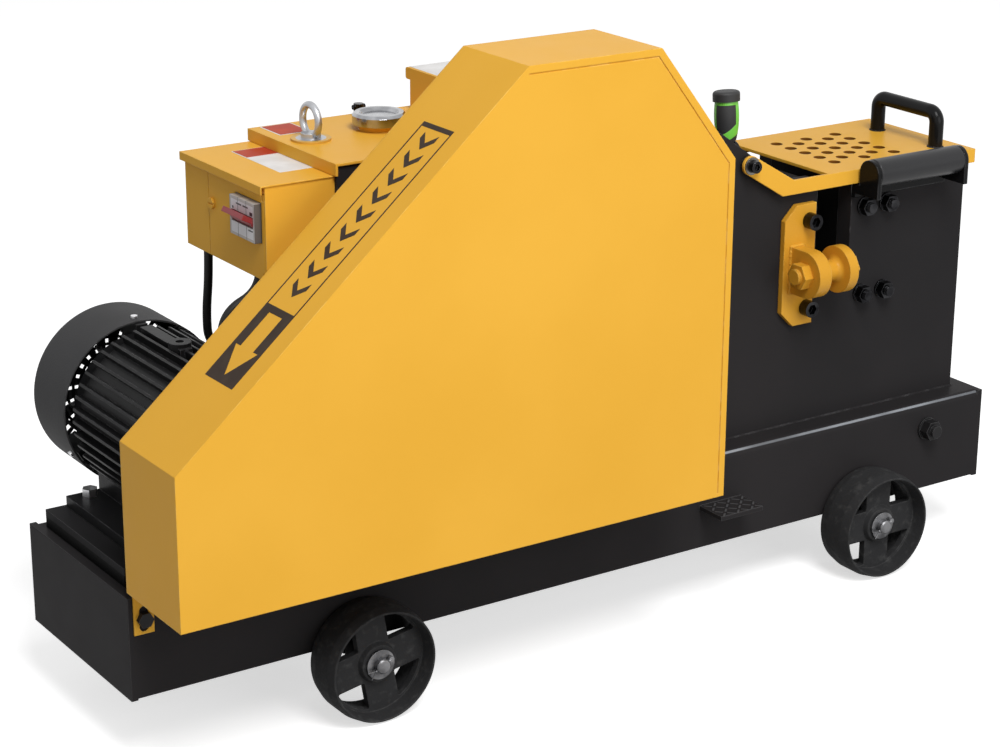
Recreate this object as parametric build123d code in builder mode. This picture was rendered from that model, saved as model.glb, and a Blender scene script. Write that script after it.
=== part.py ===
from build123d import *
from math import acos, atan2, cos, degrees, hypot, pi, radians, sin, sqrt, tan
import os

os.makedirs("parts", exist_ok=True)

# Rebar cutting machine. Millimetres, +X towards the cutting head, +Y away from
# the operator, +Z up, origin on the floor under the middle of the machine.

# Fits
run_clear = 0.06      # radial play of a shaft in its bearing
seat_clear = 0.02     # radial play of a part keyed or pressed on a shaft
slide_clear = 0.2     # play of a flat sliding face
loose_clear = 0.4     # play round screws, pins and parts that only pass through
part_gap = 0.3        # gap between faces that move past each other

# Base frame, folded from channel with welded end plates
base_len = 1260.0
base_w = 258.0
base_h = 120.0
rail_t = 7.0
rail_flange = 52.0
rail_round = 9.0
end_plate_t = 8.0
end_plate_drop = 2.0
deck_t = 7.0
step_from_end = 782.0
step_len = 66.0
step_reach = 44.0
step_t = 6.0
step_drop = 63.0

# Running gear
wheel_dia = 140.0
wheel_w = 54.0
wheel_rim_t = 8.0
wheel_web_t = 10.0
wheel_recess = 20.0
wheel_hub_recess = 13.0
wheel_hub_dia = 44.0
wheel_spokes = 4
wheel_spoke_w = 40.0
wheel_corner = 2.0
wheel_turn = {"left": 10.0, "right": 0.0}
wheel_edge = 3.0
wheel_gap = 4.0
axle_dia = 22.0
saddle_t = 2.0
saddle_wall = 10.0
journal_dia = 18.0
axle_left_from_end = 288.0
axle_right_from_end = 212.0
axle_washer_dia = 36.0
axle_washer_t = 3.0
axle_stub = 8.0
axle_chamfer = 1.6
split_pin_dia = 4.0
split_pin_len = 25.0
split_pin_turn = 28.0
split_eye_r = 3.4
split_eye_t = 3.2
split_leg_r = 0.8
split_leg_sink = 2.0
split_leg_len = 12.0
split_leg_spread = 26.0

# Belt guard, measured from the motor end and from the deck
sheet_t = 2.0
guard_depth = 128.0
guard_lift = 8.0
guard_len = 715.0
guard_side_h = 174.0
guard_top_h = 548.0
guard_right_h = 410.0
guard_top_from = 431.0
guard_top_to = 607.0
guard_lip = 16.0
seam_inset = 9.0
seam_w = 1.4
seam_depth = 1.0
tab_w = 24.0
tab_drop = 52.0
tab_from_end = 6.0
tab_slot_w = 11.0
tab_slot_len = 30.0
spacer_dia = 24.0

# Electric motor
motor_from_end = 147.0
motor_face = 5.0
shaft_height = 100.0
slide_h = 22.0
slide_t = 7.0
slide_len = 270.0
slide_w = 207.0
slide_front = 30.0
motor_core_r = 87.0
motor_fin_r = 97.0
motor_fin_t = 3.4
motor_fin_count = 40
motor_frame_len = 204.0
tail_len = 20.0
tail_r = 86.0
shield_len = 25.0
stator_bore_r = 56.0
rotor_r = 55.2
motor_shaft_r = 14.0
motor_bearing_r = 31.0
motor_bearing_w = 16.0
foot_span = 174.0
foot_hole_pitch = 162.0
foot_shift = 6.0
foot_w = 48.0
foot_len = 188.0
foot_t = 13.0
pad_w = 15.0
pad_front = 132.0
pad_proud = 1.5
eyelet_r = 13.0
eyelet_h = 5.0
eyelet_hole_r = 5.0
eyelet_from_pad = 16.0
cowl_r = 100.0
cowl_t = 2.0
cowl_len = 91.0
cowl_lap = 2.0
cowl_lugs = 3
cowl_lug_w = 14.0
cowl_lug_t = 20.0
cowl_lug_len = 46.0
cowl_screw_r = 2.5
cowl_screw_head_r = 4.0
cowl_screw_head_h = 3.0
cowl_screw_set = 13.0
cowl_round = 12.0
vent_count = 20
vent_w = 4.5
vent_rows = 2
vent_hole = (6.5, 6.0)
vent_pitch = 10.5
fan_r = 74.0
fan_blades = 6
fan_w = 30.0
fan_blade_t = 4.0
term_len = 84.0
term_depth = 42.0
term_h = 62.0
term_drop = 52.0
term_from_tail = 30.0
term_cover_t = 4.0

# Belt drive
belt_count = 3
belt_pitch = 19.0
belt_plane = 45.0
belt_h = 11.0
belt_proud = 0.8
groove_top_w = 17.0
groove_foot_w = 8.4
groove_depth = 13.5
pulley_edge = 13.0
motor_pulley_r = 60.0
flywheel_head_gap = 14.0
flywheel_rim_t = 30.0
flywheel_web_t = 16.0
flywheel_hub_r = 44.0
flywheel_hub_len = 78.0
flywheel_holes = 5
flywheel_hole_share = 0.61

# Gear case and cutting head
body_from_end = 290.0
body_len = 946.0
body_set = 37.0
body_w = 184.0
plate_t = 25.0
case_h = 432.0
head_h = 320.0
slope_from = 490.0
slope_to = 650.0
slope_plate_t = 8.0
wall_t = 20.0
slot_from = 695.0
slot_w = 57.0
slot_depth = 135.0
slot_corner = 10.0

# Gear train
fly_from_end = 508.0
fly_h = 352.0
crank_h = 245.0
shaft_r = 22.5
crank_shaft_r = 35.0
bearing_wall = 14.0
shaft_pass_gap = 8.0
first_module = 4.0
first_pinion_teeth = 16
first_gear_teeth = 56
second_module = 6.0
second_pinion_teeth = 13
second_gear_teeth = 50
tooth_add = 0.7
tooth_ded = 1.1
tooth_share = 0.40
tooth_flank = 22.0
first_face_w = 24.0
second_face_w = 34.0
gear_side_gap = 5.0
gear_web_t = 12.0
gear_rim_t = 14.0
gear_hub_wall = 16.0
cap_lap = 11.0
cap_t = 9.0
cap_edge = 2.0
stroke = 34.0
eccentric_r = 56.0
rod_w = 36.0
rod_wall = 20.0
rod_shank_h = 46.0
rod_nose_r = 24.0
rod_nose_back = 3.0
shaft_stub = 10.0

# Ram and blades
ram_h = 90.0
ram_w = 70.0
ram_nose_lap = 14.0
guide_len = 128.0
guide_top_gap = 10.0
blade_h = 40.0
blade_w = 30.0
blade_gap = 28.0
blade_pass = 0.8
blade_bevel = 10.0
blade_seat = 12.0
moving_seat = 22.0

# Gear cover, hood and fittings on top
cover_t = 3.0
cover_lap = 3.0
cover_back = 15.0
lift_bar = 30.0
cover_flange = 14.0
hood_from_end = 499.0
hood_len = 262.0
hood_w = 142.0
hood_h = 49.0
hood_t = 2.0
hood_inset = 1.0
hood_lip = 10.0
hood_lip_h = 14.0
eye_from_end = 321.0
eye_y = 148.0
eye_ring_r = 18.0
eye_wire_r = 4.2
eye_collar_r = 11.5
eye_collar_h = 6.0
eye_washer_r = 23.0
eye_washer_t = 2.5
eye_shank_r = 5.0
eye_shank_len = 18.0
filler_from_end = 415.0
filler_y = 154.0
filler_neck_r = 24.0
filler_neck_h = 11.0
filler_wall = 3.0
filler_cap_lift = 7.0
filler_cap_r = 31.5
filler_cap_h = 13.0
filler_dish_r = 20.0
filler_dish = 3.5
plug_from_end = 430.0
plug_y = 226.0
plug_r = 6.0
plug_h = 14.0
plug_bar_r = 3.0
plug_bar_up = 10.0
plug_bar_len = 8.0

# Electric box on the end wall of the gear case
box_depth = 87.0
box_set = 42.0
box_w = 189.0
box_h = 107.0
box_lift = 312.0
box_t = 1.5
box_lip = 6.0
box_lip_drop = 8.0
door_w = 132.0
door_gap = 1.2
door_t = 2.0
hinge_pin_r = 1.5
hinge_r = 3.0
hinge_lug = 8.0
lock_r = 6.5
lock_proud = 3.0
lock_lip = 1.5
lock_cam_t = 3.0
lock_slot = 2.0
lock_from_edge = 1.5
lock_h = 62.0
pole_w = 19.0
pole_count = 3
breaker_h = 80.0
breaker_face_h = 44.0
breaker_proud = 8.0
breaker_step = 14.0
breaker_depth = 70.0
breaker_set = 38.5
breaker_lift = 64.5
rail_w = 35.0
toggle_r = 6.0
toggle_sink = 4.0
trough_wall = 4.0
toggle_reach = 12.0
toggle_t = 6.0
toggle_w = 9.0
toggle_bar = 7.0
toggle_tilt = 28.0
cable_r = 5.2
gland_r = 10.0
gland_h = 12.0
grommet_t = 3.0
cable_set = 39.0
cable_slack = 48.0
cable_run_up = 68.0
cable_sag = 58.0
cable_bend = 18.0

# Lid over the slot
lid_t = 4.0
lid_from = 704.0
lid_over = 7.0
lid_w = 206.0
lid_flange_h = 18.0
lid_flange_from = 629.0
lid_flange_slant = 18.0
lid_rest = 4.0
pivot_from = 577.0
pivot_h = 356.0
pivot_r = 5.0
pivot_arm_r = 12.0
pivot_collar_r = 9.0
pivot_head_r = 7.5
pivot_head_h = 9.0
pivot_socket = 8.0
pivot_washer_r = 11.0
pivot_washer_t = 1.6
hole_dia = 16.0
hole_rows = 5
hole_columns = 5
hole_pitch_x = 25.3
hole_pitch_y = 28.7
hole_from = 751.0
handle_from = 917.0
handle_span = 112.0
handle_shift = 9.5
handle_h = 45.0
handle_r = 9.5
handle_bend = 13.0

# Roller in front of the lid
roller_r = 18.0
roller_from = 757.0
roller_len = 141.0
roller_out = 32.0
roller_up = 6.0
roller_pin_r = 5.0
roller_edge = 1.0
ear_t = 6.0
ear_r = 17.5
bracket_bar_t = 8.0
bracket_bar_h = 18.0
bracket_drop = 12.0
bracket_lid_gap = 2.0

# Spool bracket
rest_plate_from = 637.0
rest_plate_w = 50.0
rest_plate_h = 158.0
rest_plate_t = 8.0
rest_plate_drop = 26.0
rest_plate_corner = 19.0
rest_screw_r = 6.0
rest_screw_head_r = 10.5
rest_screw_head_h = 14.0
rest_screw_socket = 12.0
rest_screw_edge = 22.0
rest_screw_inset = 11.0
spool_flange_r = 30.0
spool_waist_r = 13.0
spool_waist_len = 30.0
spool_flange_t = 14.0
spool_bolt_r = 10.0
spool_out = 36.0
lug_from = 648.0
lug_plate_t = 19.0
spool_nut_af = 30.0
spool_nut_h = 13.0
spool_drop = 3.5
spool_stub = 5.0

# Fasteners
tie_r = 6.5
tie_nut_af = 20.0
tie_nut_h = 11.0
tie_washer_r = 12.0
tie_washer_t = 2.5
tie_stub = 5.0
tie_from = 774.0
tie_pitch_x = 37.0
tie_high = 45.0
tie_low = 161.0
foot_bolt_r = 5.0
foot_nut_af = 16.0
foot_nut_h = 9.0
tab_bolt_r = 5.0
tab_nut_af = 16.0
tab_nut_h = 7.0
hitch_from_end = 99.0
hitch_up = 85.0
hitch_r = 8.0
hitch_nut_af = 24.0
hitch_nut_h = 13.0
hitch_washer_r = 15.0
hitch_washer_t = 3.0
hitch_stub = 6.0

# Clutch lever
lever_from_slope = 18.0
lever_shift = 29.5
lever_up = 336.0
lever_r = 9.0
lever_boss_r = 15.0
lever_boss_len = 22.0
lever_guide_len = 32.0
lever_guide_out = 6.0
stop_from_guide = 5.0
lever_lean = 4.0
lever_rod_r = 8.0
lever_arm_t = 12.0
lever_arm_len = 40.0
grip_start = 16.0
grip_len = 64.0
grip_cap_h = 13.0
grip_form = (         # share of the length under the cap, half width, half thickness
    (0.0, 12.5, 11.0),
    (0.45, 16.5, 14.5),
    (1.0, 15.5, 13.5),
)
grip_cap_form = (18.5, 16.0)
grip_cap_round = 4.0

# Reference planes
x0 = -base_len / 2
cowl_reach = motor_face + shield_len + motor_frame_len + tail_len + cowl_len
y0 = (guard_depth - cowl_reach) / 2
z0 = wheel_dia / 2 + axle_dia / 2 + saddle_t
deck = z0 + base_h
back_y = y0 + base_w

# Places of the main groups
axle_z = wheel_dia / 2
axle_xs = {"left": x0 + axle_left_from_end, "right": -x0 - axle_right_from_end}
wheel_in = wheel_gap
hub_out = wheel_gap + wheel_w - wheel_hub_recess
motor_x = x0 + motor_from_end
motor_z = deck + slide_h + shaft_height
shield_y = y0 + motor_face
frame_y = shield_y + shield_len
frame_end_y = frame_y + motor_frame_len
tail_y = frame_end_y + tail_len
cowl_y = tail_y - cowl_lap
cowl_end_y = tail_y + cowl_len
flywheel_r = guard_lift + guard_top_h - sheet_t - flywheel_head_gap - fly_h
belt_y = y0 - belt_plane
pulley_half_w = (belt_count - 1) * belt_pitch / 2 + pulley_edge

body_x = x0 + body_from_end
body_end_x = body_x + body_len
front_y = y0 + body_set
rear_y = front_y + body_w
inner_front_y = front_y + plate_t
inner_rear_y = rear_y - plate_t
mid_y = (front_y + rear_y) / 2
case_z = deck + case_h
head_z = deck + head_h
slot_x = body_x + slot_from
slot_end_x = slot_x + slot_w
slot_z = head_z - slot_depth

# Gear centres: the crank gear just clears the flywheel shaft, and the
# intermediate shaft stands where both pairs of gears mesh.
fly_x = x0 + fly_from_end
fly_z = deck + fly_h
crank_z = deck + crank_h
crank_gear_tip = second_module * (second_gear_teeth / 2 + tooth_add)
crank_reach = crank_gear_tip + shaft_r + shaft_pass_gap
crank_x = fly_x + sqrt(crank_reach**2 - (fly_z - crank_z) ** 2)
first_centres = first_module * (first_pinion_teeth + first_gear_teeth) / 2
second_centres = second_module * (second_pinion_teeth + second_gear_teeth) / 2
along = (first_centres**2 - second_centres**2 + crank_reach**2) / (2 * crank_reach)
aside = sqrt(first_centres**2 - along**2)
to_crank = ((crank_x - fly_x) / crank_reach, (crank_z - fly_z) / crank_reach)
mid_x = fly_x + along * to_crank[0] + aside * to_crank[1]
mid_z = fly_z + along * to_crank[1] - aside * to_crank[0]
first_face_y = inner_front_y + gear_side_gap
second_face_y = inner_rear_y - gear_side_gap - second_face_w
first_mesh = degrees(atan2(mid_z - fly_z, mid_x - fly_x))
second_mesh = degrees(atan2(crank_z - mid_z, crank_x - mid_x))

guide_end_x = slot_x - guide_top_gap
guide_x = guide_end_x - guide_len
eccentric_x = crank_x - stroke / 2
ram_x = guide_x - ram_nose_lap
nose_x = ram_x - rod_nose_back
blade_edge_x = slot_end_x - blade_gap / 2
ram_edge_x = blade_edge_x - blade_gap
lid_z = head_z + lid_rest + lid_t
lid_front_y = mid_y - lid_w / 2
lid_back_y = mid_y + lid_w / 2
pivot_x = body_x + pivot_from
pivot_z = deck + pivot_h


def bar_on(line, radius, low, high, mode=Mode.ADD):
    """Round bar on a plane's normal through its origin."""
    with Locations(line.offset(low).location):
        Cylinder(radius, high - low, align=(Align.CENTER, Align.CENTER, Align.MIN), mode=mode)


def along_x(y, z, radius, x_from, x_to, mode=Mode.ADD):
    """Round bar along X between two planes."""
    with Locations(((x_from + x_to) / 2, y, z)):
        Cylinder(radius, x_to - x_from, rotation=(0, 90, 0), mode=mode)


def along_y(x, z, radius, y_from, y_to, mode=Mode.ADD):
    """Round bar along Y between two planes."""
    with Locations((x, (y_from + y_to) / 2, z)):
        Cylinder(radius, y_to - y_from, rotation=(90, 0, 0), mode=mode)


def along_z(x, y, radius, z_from, z_to, mode=Mode.ADD):
    """Round bar along Z between two planes."""
    with Locations((x, y, (z_from + z_to) / 2)):
        Cylinder(radius, z_to - z_from, mode=mode)


def block(x_span, y_span, z_span, mode=Mode.ADD):
    """Box between pairs of planes."""
    spans = (x_span, y_span, z_span)
    with Locations(tuple(sum(span) / 2 for span in spans)):
        Box(*[span[1] - span[0] for span in spans], mode=mode)


def upright(y):
    """Sketch plane across the machine at y: local x is X, local y is Z, normal -Y."""
    return Plane.XZ.offset(-y)


def save(piece, name):
    """Label a finished piece and write it."""
    piece.part.label = name
    export_step(piece.part, f"parts/{name}.step")


# Base frame: two channel rails with a deck between them, closed by end plates,
# with a small step plate welded to the front rail.
with BuildPart() as base_frame:
    with BuildSketch(Plane.YZ.offset(x0 + end_plate_t)):
        with Locations(((y0 + back_y) / 2, (z0 + deck) / 2)):
            Rectangle(base_w, base_h)
        with Locations(((y0 + back_y) / 2, (z0 + deck - deck_t) / 2)):
            Rectangle(base_w - 2 * rail_t, base_h - deck_t, mode=Mode.SUBTRACT)
        for side_y in (y0 + rail_flange / 2, back_y - rail_flange / 2):
            with Locations((side_y, z0 + rail_t / 2)):
                Rectangle(rail_flange, rail_t)
    extrude(amount=base_len - 2 * end_plate_t)
    top_edges = base_frame.edges().filter_by(Axis.X).group_by(Axis.Z)[-1]
    fillet(top_edges, rail_round)
    for end_x in (x0, -x0 - end_plate_t):
        block((end_x, end_x + end_plate_t), (y0, back_y), (z0 - end_plate_drop, deck))
    step_x = x0 + step_from_end
    step_z = deck - step_drop
    block((step_x, step_x + step_len), (y0 - step_reach, y0), (step_z - step_t, step_z))
    for end_bolt_x, bolt_z, radius in (
        (-x0 - hitch_from_end, z0 + hitch_up, hitch_r),
        (x0 + tab_from_end + tab_w / 2, deck - tab_drop / 2, tab_bolt_r),
    ):
        along_y(end_bolt_x, bolt_z, radius + loose_clear, y0, y0 + rail_t, Mode.SUBTRACT)
    saddle_half_w = axle_dia / 2 + saddle_wall
    for axle_x in axle_xs.values():
        for rail_y in (y0, back_y - rail_flange):
            block(
                (axle_x - saddle_half_w, axle_x + saddle_half_w),
                (rail_y, rail_y + rail_flange),
                (axle_z, z0),
            )
        along_y(axle_x, axle_z, axle_dia / 2 + seat_clear, y0, back_y, Mode.SUBTRACT)
save(base_frame, "base_frame")

# Axles, wheels, washers and split pins
pin_out = hub_out + part_gap + axle_washer_t + axle_stub / 2
axle_out = hub_out + part_gap + axle_washer_t + axle_stub
pin_lean = radians(split_pin_turn)
pin_dir = (cos(pin_lean), 0, sin(pin_lean))
pin_lines = [
    Plane(origin=(axle_x, pin_y, axle_z), x_dir=(0, 1, 0), z_dir=pin_dir)
    for axle_x in axle_xs.values()
    for pin_y in (y0 - pin_out, back_y + pin_out)
]
with BuildPart() as axles:
    for axle_x in axle_xs.values():
        along_y(axle_x, axle_z, axle_dia / 2, y0 - wheel_in + part_gap, back_y + wheel_in - part_gap)
        along_y(axle_x, axle_z, journal_dia / 2, y0 - axle_out, back_y + axle_out)
    for end_faces in (axles.faces().group_by(Axis.Y)[0], axles.faces().group_by(Axis.Y)[-1]):
        chamfer(end_faces.edges(), axle_chamfer)
    for pin_line in pin_lines:
        bar_on(pin_line, split_pin_dia / 2 + loose_clear / 2, -journal_dia, journal_dia, Mode.SUBTRACT)
save(axles, "axles")


def wheel(axle_x, face_y, outward, turn):
    """Cast wheel with four windows in its web; face_y is its inner face."""
    rim_in = wheel_dia / 2 - wheel_rim_t
    bore = journal_dia / 2 + run_clear
    web_far = wheel_w - wheel_recess
    hub_far = wheel_w - wheel_hub_recess
    with BuildPart() as cast:
        with BuildSketch(Plane.XY.offset(axle_z)):
            with BuildLine():
                Polyline(
                    (axle_x + bore, face_y),
                    (axle_x + wheel_hub_dia / 2, face_y),
                    (axle_x + wheel_hub_dia / 2, face_y + outward * (web_far - wheel_web_t)),
                    (axle_x + rim_in, face_y + outward * (web_far - wheel_web_t)),
                    (axle_x + rim_in, face_y),
                    (axle_x + wheel_dia / 2 - wheel_edge, face_y),
                    (axle_x + wheel_dia / 2, face_y + outward * wheel_w / 4),
                    (axle_x + wheel_dia / 2, face_y + outward * wheel_w * 3 / 4),
                    (axle_x + wheel_dia / 2 - wheel_edge, face_y + outward * wheel_w),
                    (axle_x + rim_in + wheel_edge, face_y + outward * wheel_w),
                    (axle_x + rim_in, face_y + outward * web_far),
                    (axle_x + wheel_hub_dia / 2 + wheel_edge, face_y + outward * web_far),
                    (axle_x + wheel_hub_dia / 2, face_y + outward * hub_far),
                    (axle_x + bore, face_y + outward * hub_far),
                    close=True,
                )
            make_face()
        revolve(axis=Axis((axle_x, 0, axle_z), (0, 1, 0)))
        with BuildSketch(upright(max(face_y, face_y + outward * wheel_w))) as windows:
            with Locations((axle_x, axle_z)):
                Circle(rim_in - wheel_edge)
                Circle(wheel_hub_dia / 2 + wheel_edge, mode=Mode.SUBTRACT)
                with PolarLocations(0, wheel_spokes // 2, start_angle=turn, angular_range=180):
                    Rectangle(wheel_dia, wheel_spoke_w, mode=Mode.SUBTRACT)
            fillet(windows.vertices(), wheel_corner)
        extrude(amount=wheel_w, mode=Mode.SUBTRACT)
    return cast


for end_name, axle_x in axle_xs.items():
    turn = wheel_turn[end_name]
    save(wheel(axle_x, y0 - wheel_in, -1, turn), f"wheel_front_{end_name}")
    save(wheel(axle_x, back_y + wheel_in, 1, turn), f"wheel_back_{end_name}")

with BuildPart() as axle_washers:
    washer_far = hub_out + part_gap + axle_washer_t
    for axle_x in axle_xs.values():
        for washer_y in (y0 - washer_far, back_y + washer_far - axle_washer_t):
            along_y(axle_x, axle_z, axle_washer_dia / 2, washer_y, washer_y + axle_washer_t)
    for axle_x in axle_xs.values():
        along_y(
            axle_x, axle_z, journal_dia / 2 + seat_clear,
            y0 - axle_out, back_y + axle_out, Mode.SUBTRACT,
        )
save(axle_washers, "axle_washers")

with BuildPart() as split_pins:
    pin_end = journal_dia / 2 + split_pin_dia / 2
    for pin_line in pin_lines:
        bar_on(pin_line, split_pin_dia / 2, -pin_end, split_pin_len / 2)
        eye = pin_line.origin + pin_line.z_dir * split_pin_len / 2
        along_y(eye.X, eye.Z, split_eye_r, eye.Y - split_eye_t / 2, eye.Y + split_eye_t / 2)
        fork = pin_line.origin - pin_line.z_dir * (pin_end - split_leg_sink)
        for spread in (-split_leg_spread, split_leg_spread):
            turn = pin_lean + radians(spread)
            leg = Plane(origin=fork, x_dir=(0, 1, 0), z_dir=(-cos(turn), 0, -sin(turn)))
            bar_on(leg, split_leg_r, 0, split_leg_len)
save(split_pins, "split_pins")

# Belt guard: front cover with its rim, and a flat back plate behind it
guard_z = deck + guard_lift
guard_outline = (
    (x0, guard_z),
    (x0, guard_z + guard_side_h),
    (x0 + guard_top_from, guard_z + guard_top_h),
    (x0 + guard_top_to, guard_z + guard_top_h),
    (x0 + guard_len, guard_z + guard_right_h),
    (x0 + guard_len, guard_z),
)
with BuildPart() as belt_guard:
    with BuildSketch(upright(y0 - sheet_t)):
        Polygon(*guard_outline, align=None)
    extrude(amount=guard_depth - sheet_t)
    with BuildSketch(upright(y0 - sheet_t)):
        Polygon(*guard_outline, align=None)
        offset(amount=-sheet_t, kind=Kind.INTERSECTION, mode=Mode.REPLACE)
    extrude(amount=guard_depth - 2 * sheet_t, mode=Mode.SUBTRACT)
    block(
        (x0 + guard_lip, x0 + guard_len - guard_lip),
        (y0 - guard_depth + guard_lip, y0 - sheet_t),
        (guard_z, guard_z + sheet_t),
        Mode.SUBTRACT,
    )
    with BuildSketch(upright(y0 - guard_depth + seam_depth)):
        with BuildLine():
            Polyline(
                (x0 + guard_top_from, guard_z + guard_top_h - seam_inset),
                (x0 + guard_top_to - seam_inset / 2, guard_z + guard_top_h - seam_inset),
                (x0 + guard_len - seam_inset, guard_z + guard_right_h - seam_inset / 2),
                (x0 + guard_len - seam_inset, guard_z + seam_inset / 2),
            )
        trace(line_width=seam_w)
    extrude(amount=seam_depth, mode=Mode.SUBTRACT)
save(belt_guard, "belt_guard")

motor_hole_r = motor_pulley_r / 2 + motor_shaft_r
fly_hole_r = flywheel_hub_r + wall_t / 2
spacer_spots = (
    (body_x + spacer_dia, guard_z + spacer_dia),
    (x0 + guard_len - spacer_dia, guard_z + spacer_dia),
    (x0 + guard_len - spacer_dia, guard_z + guard_right_h - spacer_dia),
)
with BuildPart() as guard_back:
    with BuildSketch(upright(y0)):
        Polygon(*guard_outline, align=None)
        with Locations((x0 + tab_from_end + tab_w / 2, guard_z - tab_drop / 2)):
            Rectangle(tab_w, tab_drop)
        with Locations((motor_x, motor_z)):
            Circle(motor_hole_r, mode=Mode.SUBTRACT)
        with Locations((fly_x, fly_z)):
            Circle(fly_hole_r, mode=Mode.SUBTRACT)
        with Locations((x0 + tab_from_end + tab_w / 2, deck - tab_drop / 2)):
            SlotOverall(tab_slot_len, tab_slot_w, rotation=90, mode=Mode.SUBTRACT)
    extrude(amount=sheet_t)
    for spot_x, spot_z in spacer_spots:
        along_y(spot_x, spot_z, spacer_dia / 2, y0, front_y)
save(guard_back, "guard_back")

# Electric motor on its slide plate
slide_x = motor_x - slide_len / 2
slide_y = y0 + slide_front
slide_z = deck + slide_h
with BuildPart() as motor_slide:
    block((slide_x, slide_x + slide_len), (slide_y, slide_y + slide_w), (deck, slide_z))
    block(
        (slide_x + slide_t, slide_x + slide_len - slide_t),
        (slide_y, slide_y + slide_w),
        (deck, slide_z - slide_t),
        Mode.SUBTRACT,
    )
    foot_y = frame_y + motor_frame_len / 2 + foot_shift
    with Locations((motor_x, foot_y, slide_z)):
        with GridLocations(foot_span, foot_hole_pitch, 2, 2):
            Cylinder(foot_bolt_r + loose_clear, 2 * slide_t, mode=Mode.SUBTRACT)
save(motor_slide, "motor_slide")

cowl_screw_planes = []
for index in range(cowl_lugs):
    turn = radians(90 + index * 360 / cowl_lugs)
    outward = (cos(turn), 0, sin(turn))
    foot = (motor_x + cowl_r * outward[0], cowl_y + cowl_screw_set, motor_z + cowl_r * outward[2])
    cowl_screw_planes.append(Plane(origin=foot, x_dir=(0, 1, 0), z_dir=outward))
with BuildPart() as motor_frame:
    with BuildSketch(upright(frame_end_y)):
        with Locations((motor_x, motor_z)):
            Circle(motor_core_r)
            fin_h = motor_fin_r - motor_core_r
            with PolarLocations(motor_core_r + fin_h / 2 - motor_fin_t / 2, motor_fin_count):
                Rectangle(fin_h + motor_fin_t, motor_fin_t)
    extrude(amount=motor_frame_len)
    along_y(motor_x, motor_z, tail_r, frame_end_y, tail_y)
    lug_out = cowl_r - cowl_t - part_gap
    with BuildSketch(upright(tail_y - tail_len / 2 + cowl_lug_len)):
        with Locations((motor_x, motor_z)):
            with PolarLocations(lug_out - cowl_lug_t / 2, cowl_lugs, start_angle=90):
                Rectangle(cowl_lug_t, cowl_lug_w)
    extrude(amount=cowl_lug_len)
    for side in (-1, 1):
        foot_mid = motor_x + side * foot_span / 2
        foot_z = motor_z - shaft_height
        block(
            (foot_mid - foot_w / 2, foot_mid + foot_w / 2),
            (foot_y - foot_len / 2, foot_y + foot_len / 2),
            (foot_z, foot_z + foot_t),
        )
        web_mid = motor_x + side * (foot_span - foot_w) / 2
        block(
            (web_mid - foot_t / 2, web_mid + foot_t / 2),
            (foot_y - foot_len / 2, foot_y + foot_len / 2),
            (foot_z + foot_t, motor_z - motor_core_r / 2),
        )
    pad_y = y0 + pad_front
    pad_z = motor_z + motor_fin_r + pad_proud
    eyelet_y = pad_y + eyelet_from_pad
    block(
        (motor_x - pad_w / 2, motor_x + pad_w / 2),
        (pad_y, frame_end_y),
        (motor_z + motor_core_r / 2, pad_z),
    )
    along_z(motor_x, eyelet_y, eyelet_r, motor_z + motor_core_r / 2, pad_z + eyelet_h)
    along_z(motor_x, eyelet_y, eyelet_hole_r, motor_z + motor_core_r, pad_z + eyelet_h, Mode.SUBTRACT)
    for screw in cowl_screw_planes:
        with BuildSketch(screw):
            Circle(cowl_screw_r + seat_clear)
        extrude(amount=-cowl_lug_t / 2, mode=Mode.SUBTRACT)
    along_y(motor_x, motor_z, stator_bore_r, frame_y, frame_end_y - 2 * motor_bearing_w, Mode.SUBTRACT)
    along_y(motor_x, motor_z, motor_bearing_r, frame_y, tail_y, Mode.SUBTRACT)
    with Locations((motor_x, foot_y, foot_z)):
        with GridLocations(foot_span, foot_hole_pitch, 2, 2):
            Cylinder(foot_bolt_r + loose_clear, 4 * foot_t, mode=Mode.SUBTRACT)
save(motor_frame, "motor_frame")

with BuildPart() as drive_end_shield:
    shield_pts = (
        (motor_shaft_r + loose_clear, shield_y),
        (motor_bearing_r + bearing_wall, shield_y),
        (motor_fin_r - fin_h, frame_y - shield_len / 2),
        (motor_fin_r, frame_y - shield_len / 3),
        (motor_fin_r, frame_y),
        (motor_bearing_r, frame_y),
        (motor_bearing_r, frame_y - motor_bearing_w),
        (motor_shaft_r + loose_clear, frame_y - motor_bearing_w),
    )
    with BuildSketch(Plane.XY.offset(motor_z)):
        Polygon(*[(motor_x + r, y) for r, y in shield_pts], align=None)
    revolve(axis=Axis((motor_x, 0, motor_z), (0, 1, 0)))
save(drive_end_shield, "drive_end_shield")

with BuildPart() as motor_rotor:
    along_y(motor_x, motor_z, motor_shaft_r, belt_y - pulley_half_w, cowl_end_y - cowl_lug_len)
    along_y(
        motor_x, motor_z, rotor_r,
        frame_y + motor_bearing_w, frame_end_y - 3 * motor_bearing_w,
    )
save(motor_rotor, "motor_rotor")

fan_y = tail_y + motor_bearing_w / 2
with BuildPart() as motor_fan:
    along_y(motor_x, motor_z, motor_bearing_r, fan_y, fan_y + fan_w)
    with BuildSketch(upright(fan_y + fan_w)):
        with Locations((motor_x, motor_z)):
            with PolarLocations((motor_bearing_r + fan_r) / 2, fan_blades):
                Rectangle(fan_r - motor_bearing_r + fan_blade_t, fan_blade_t)
    extrude(amount=fan_w)
    along_y(motor_x, motor_z, motor_shaft_r + seat_clear, fan_y, fan_y + fan_w, Mode.SUBTRACT)
save(motor_fan, "motor_fan")

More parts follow.
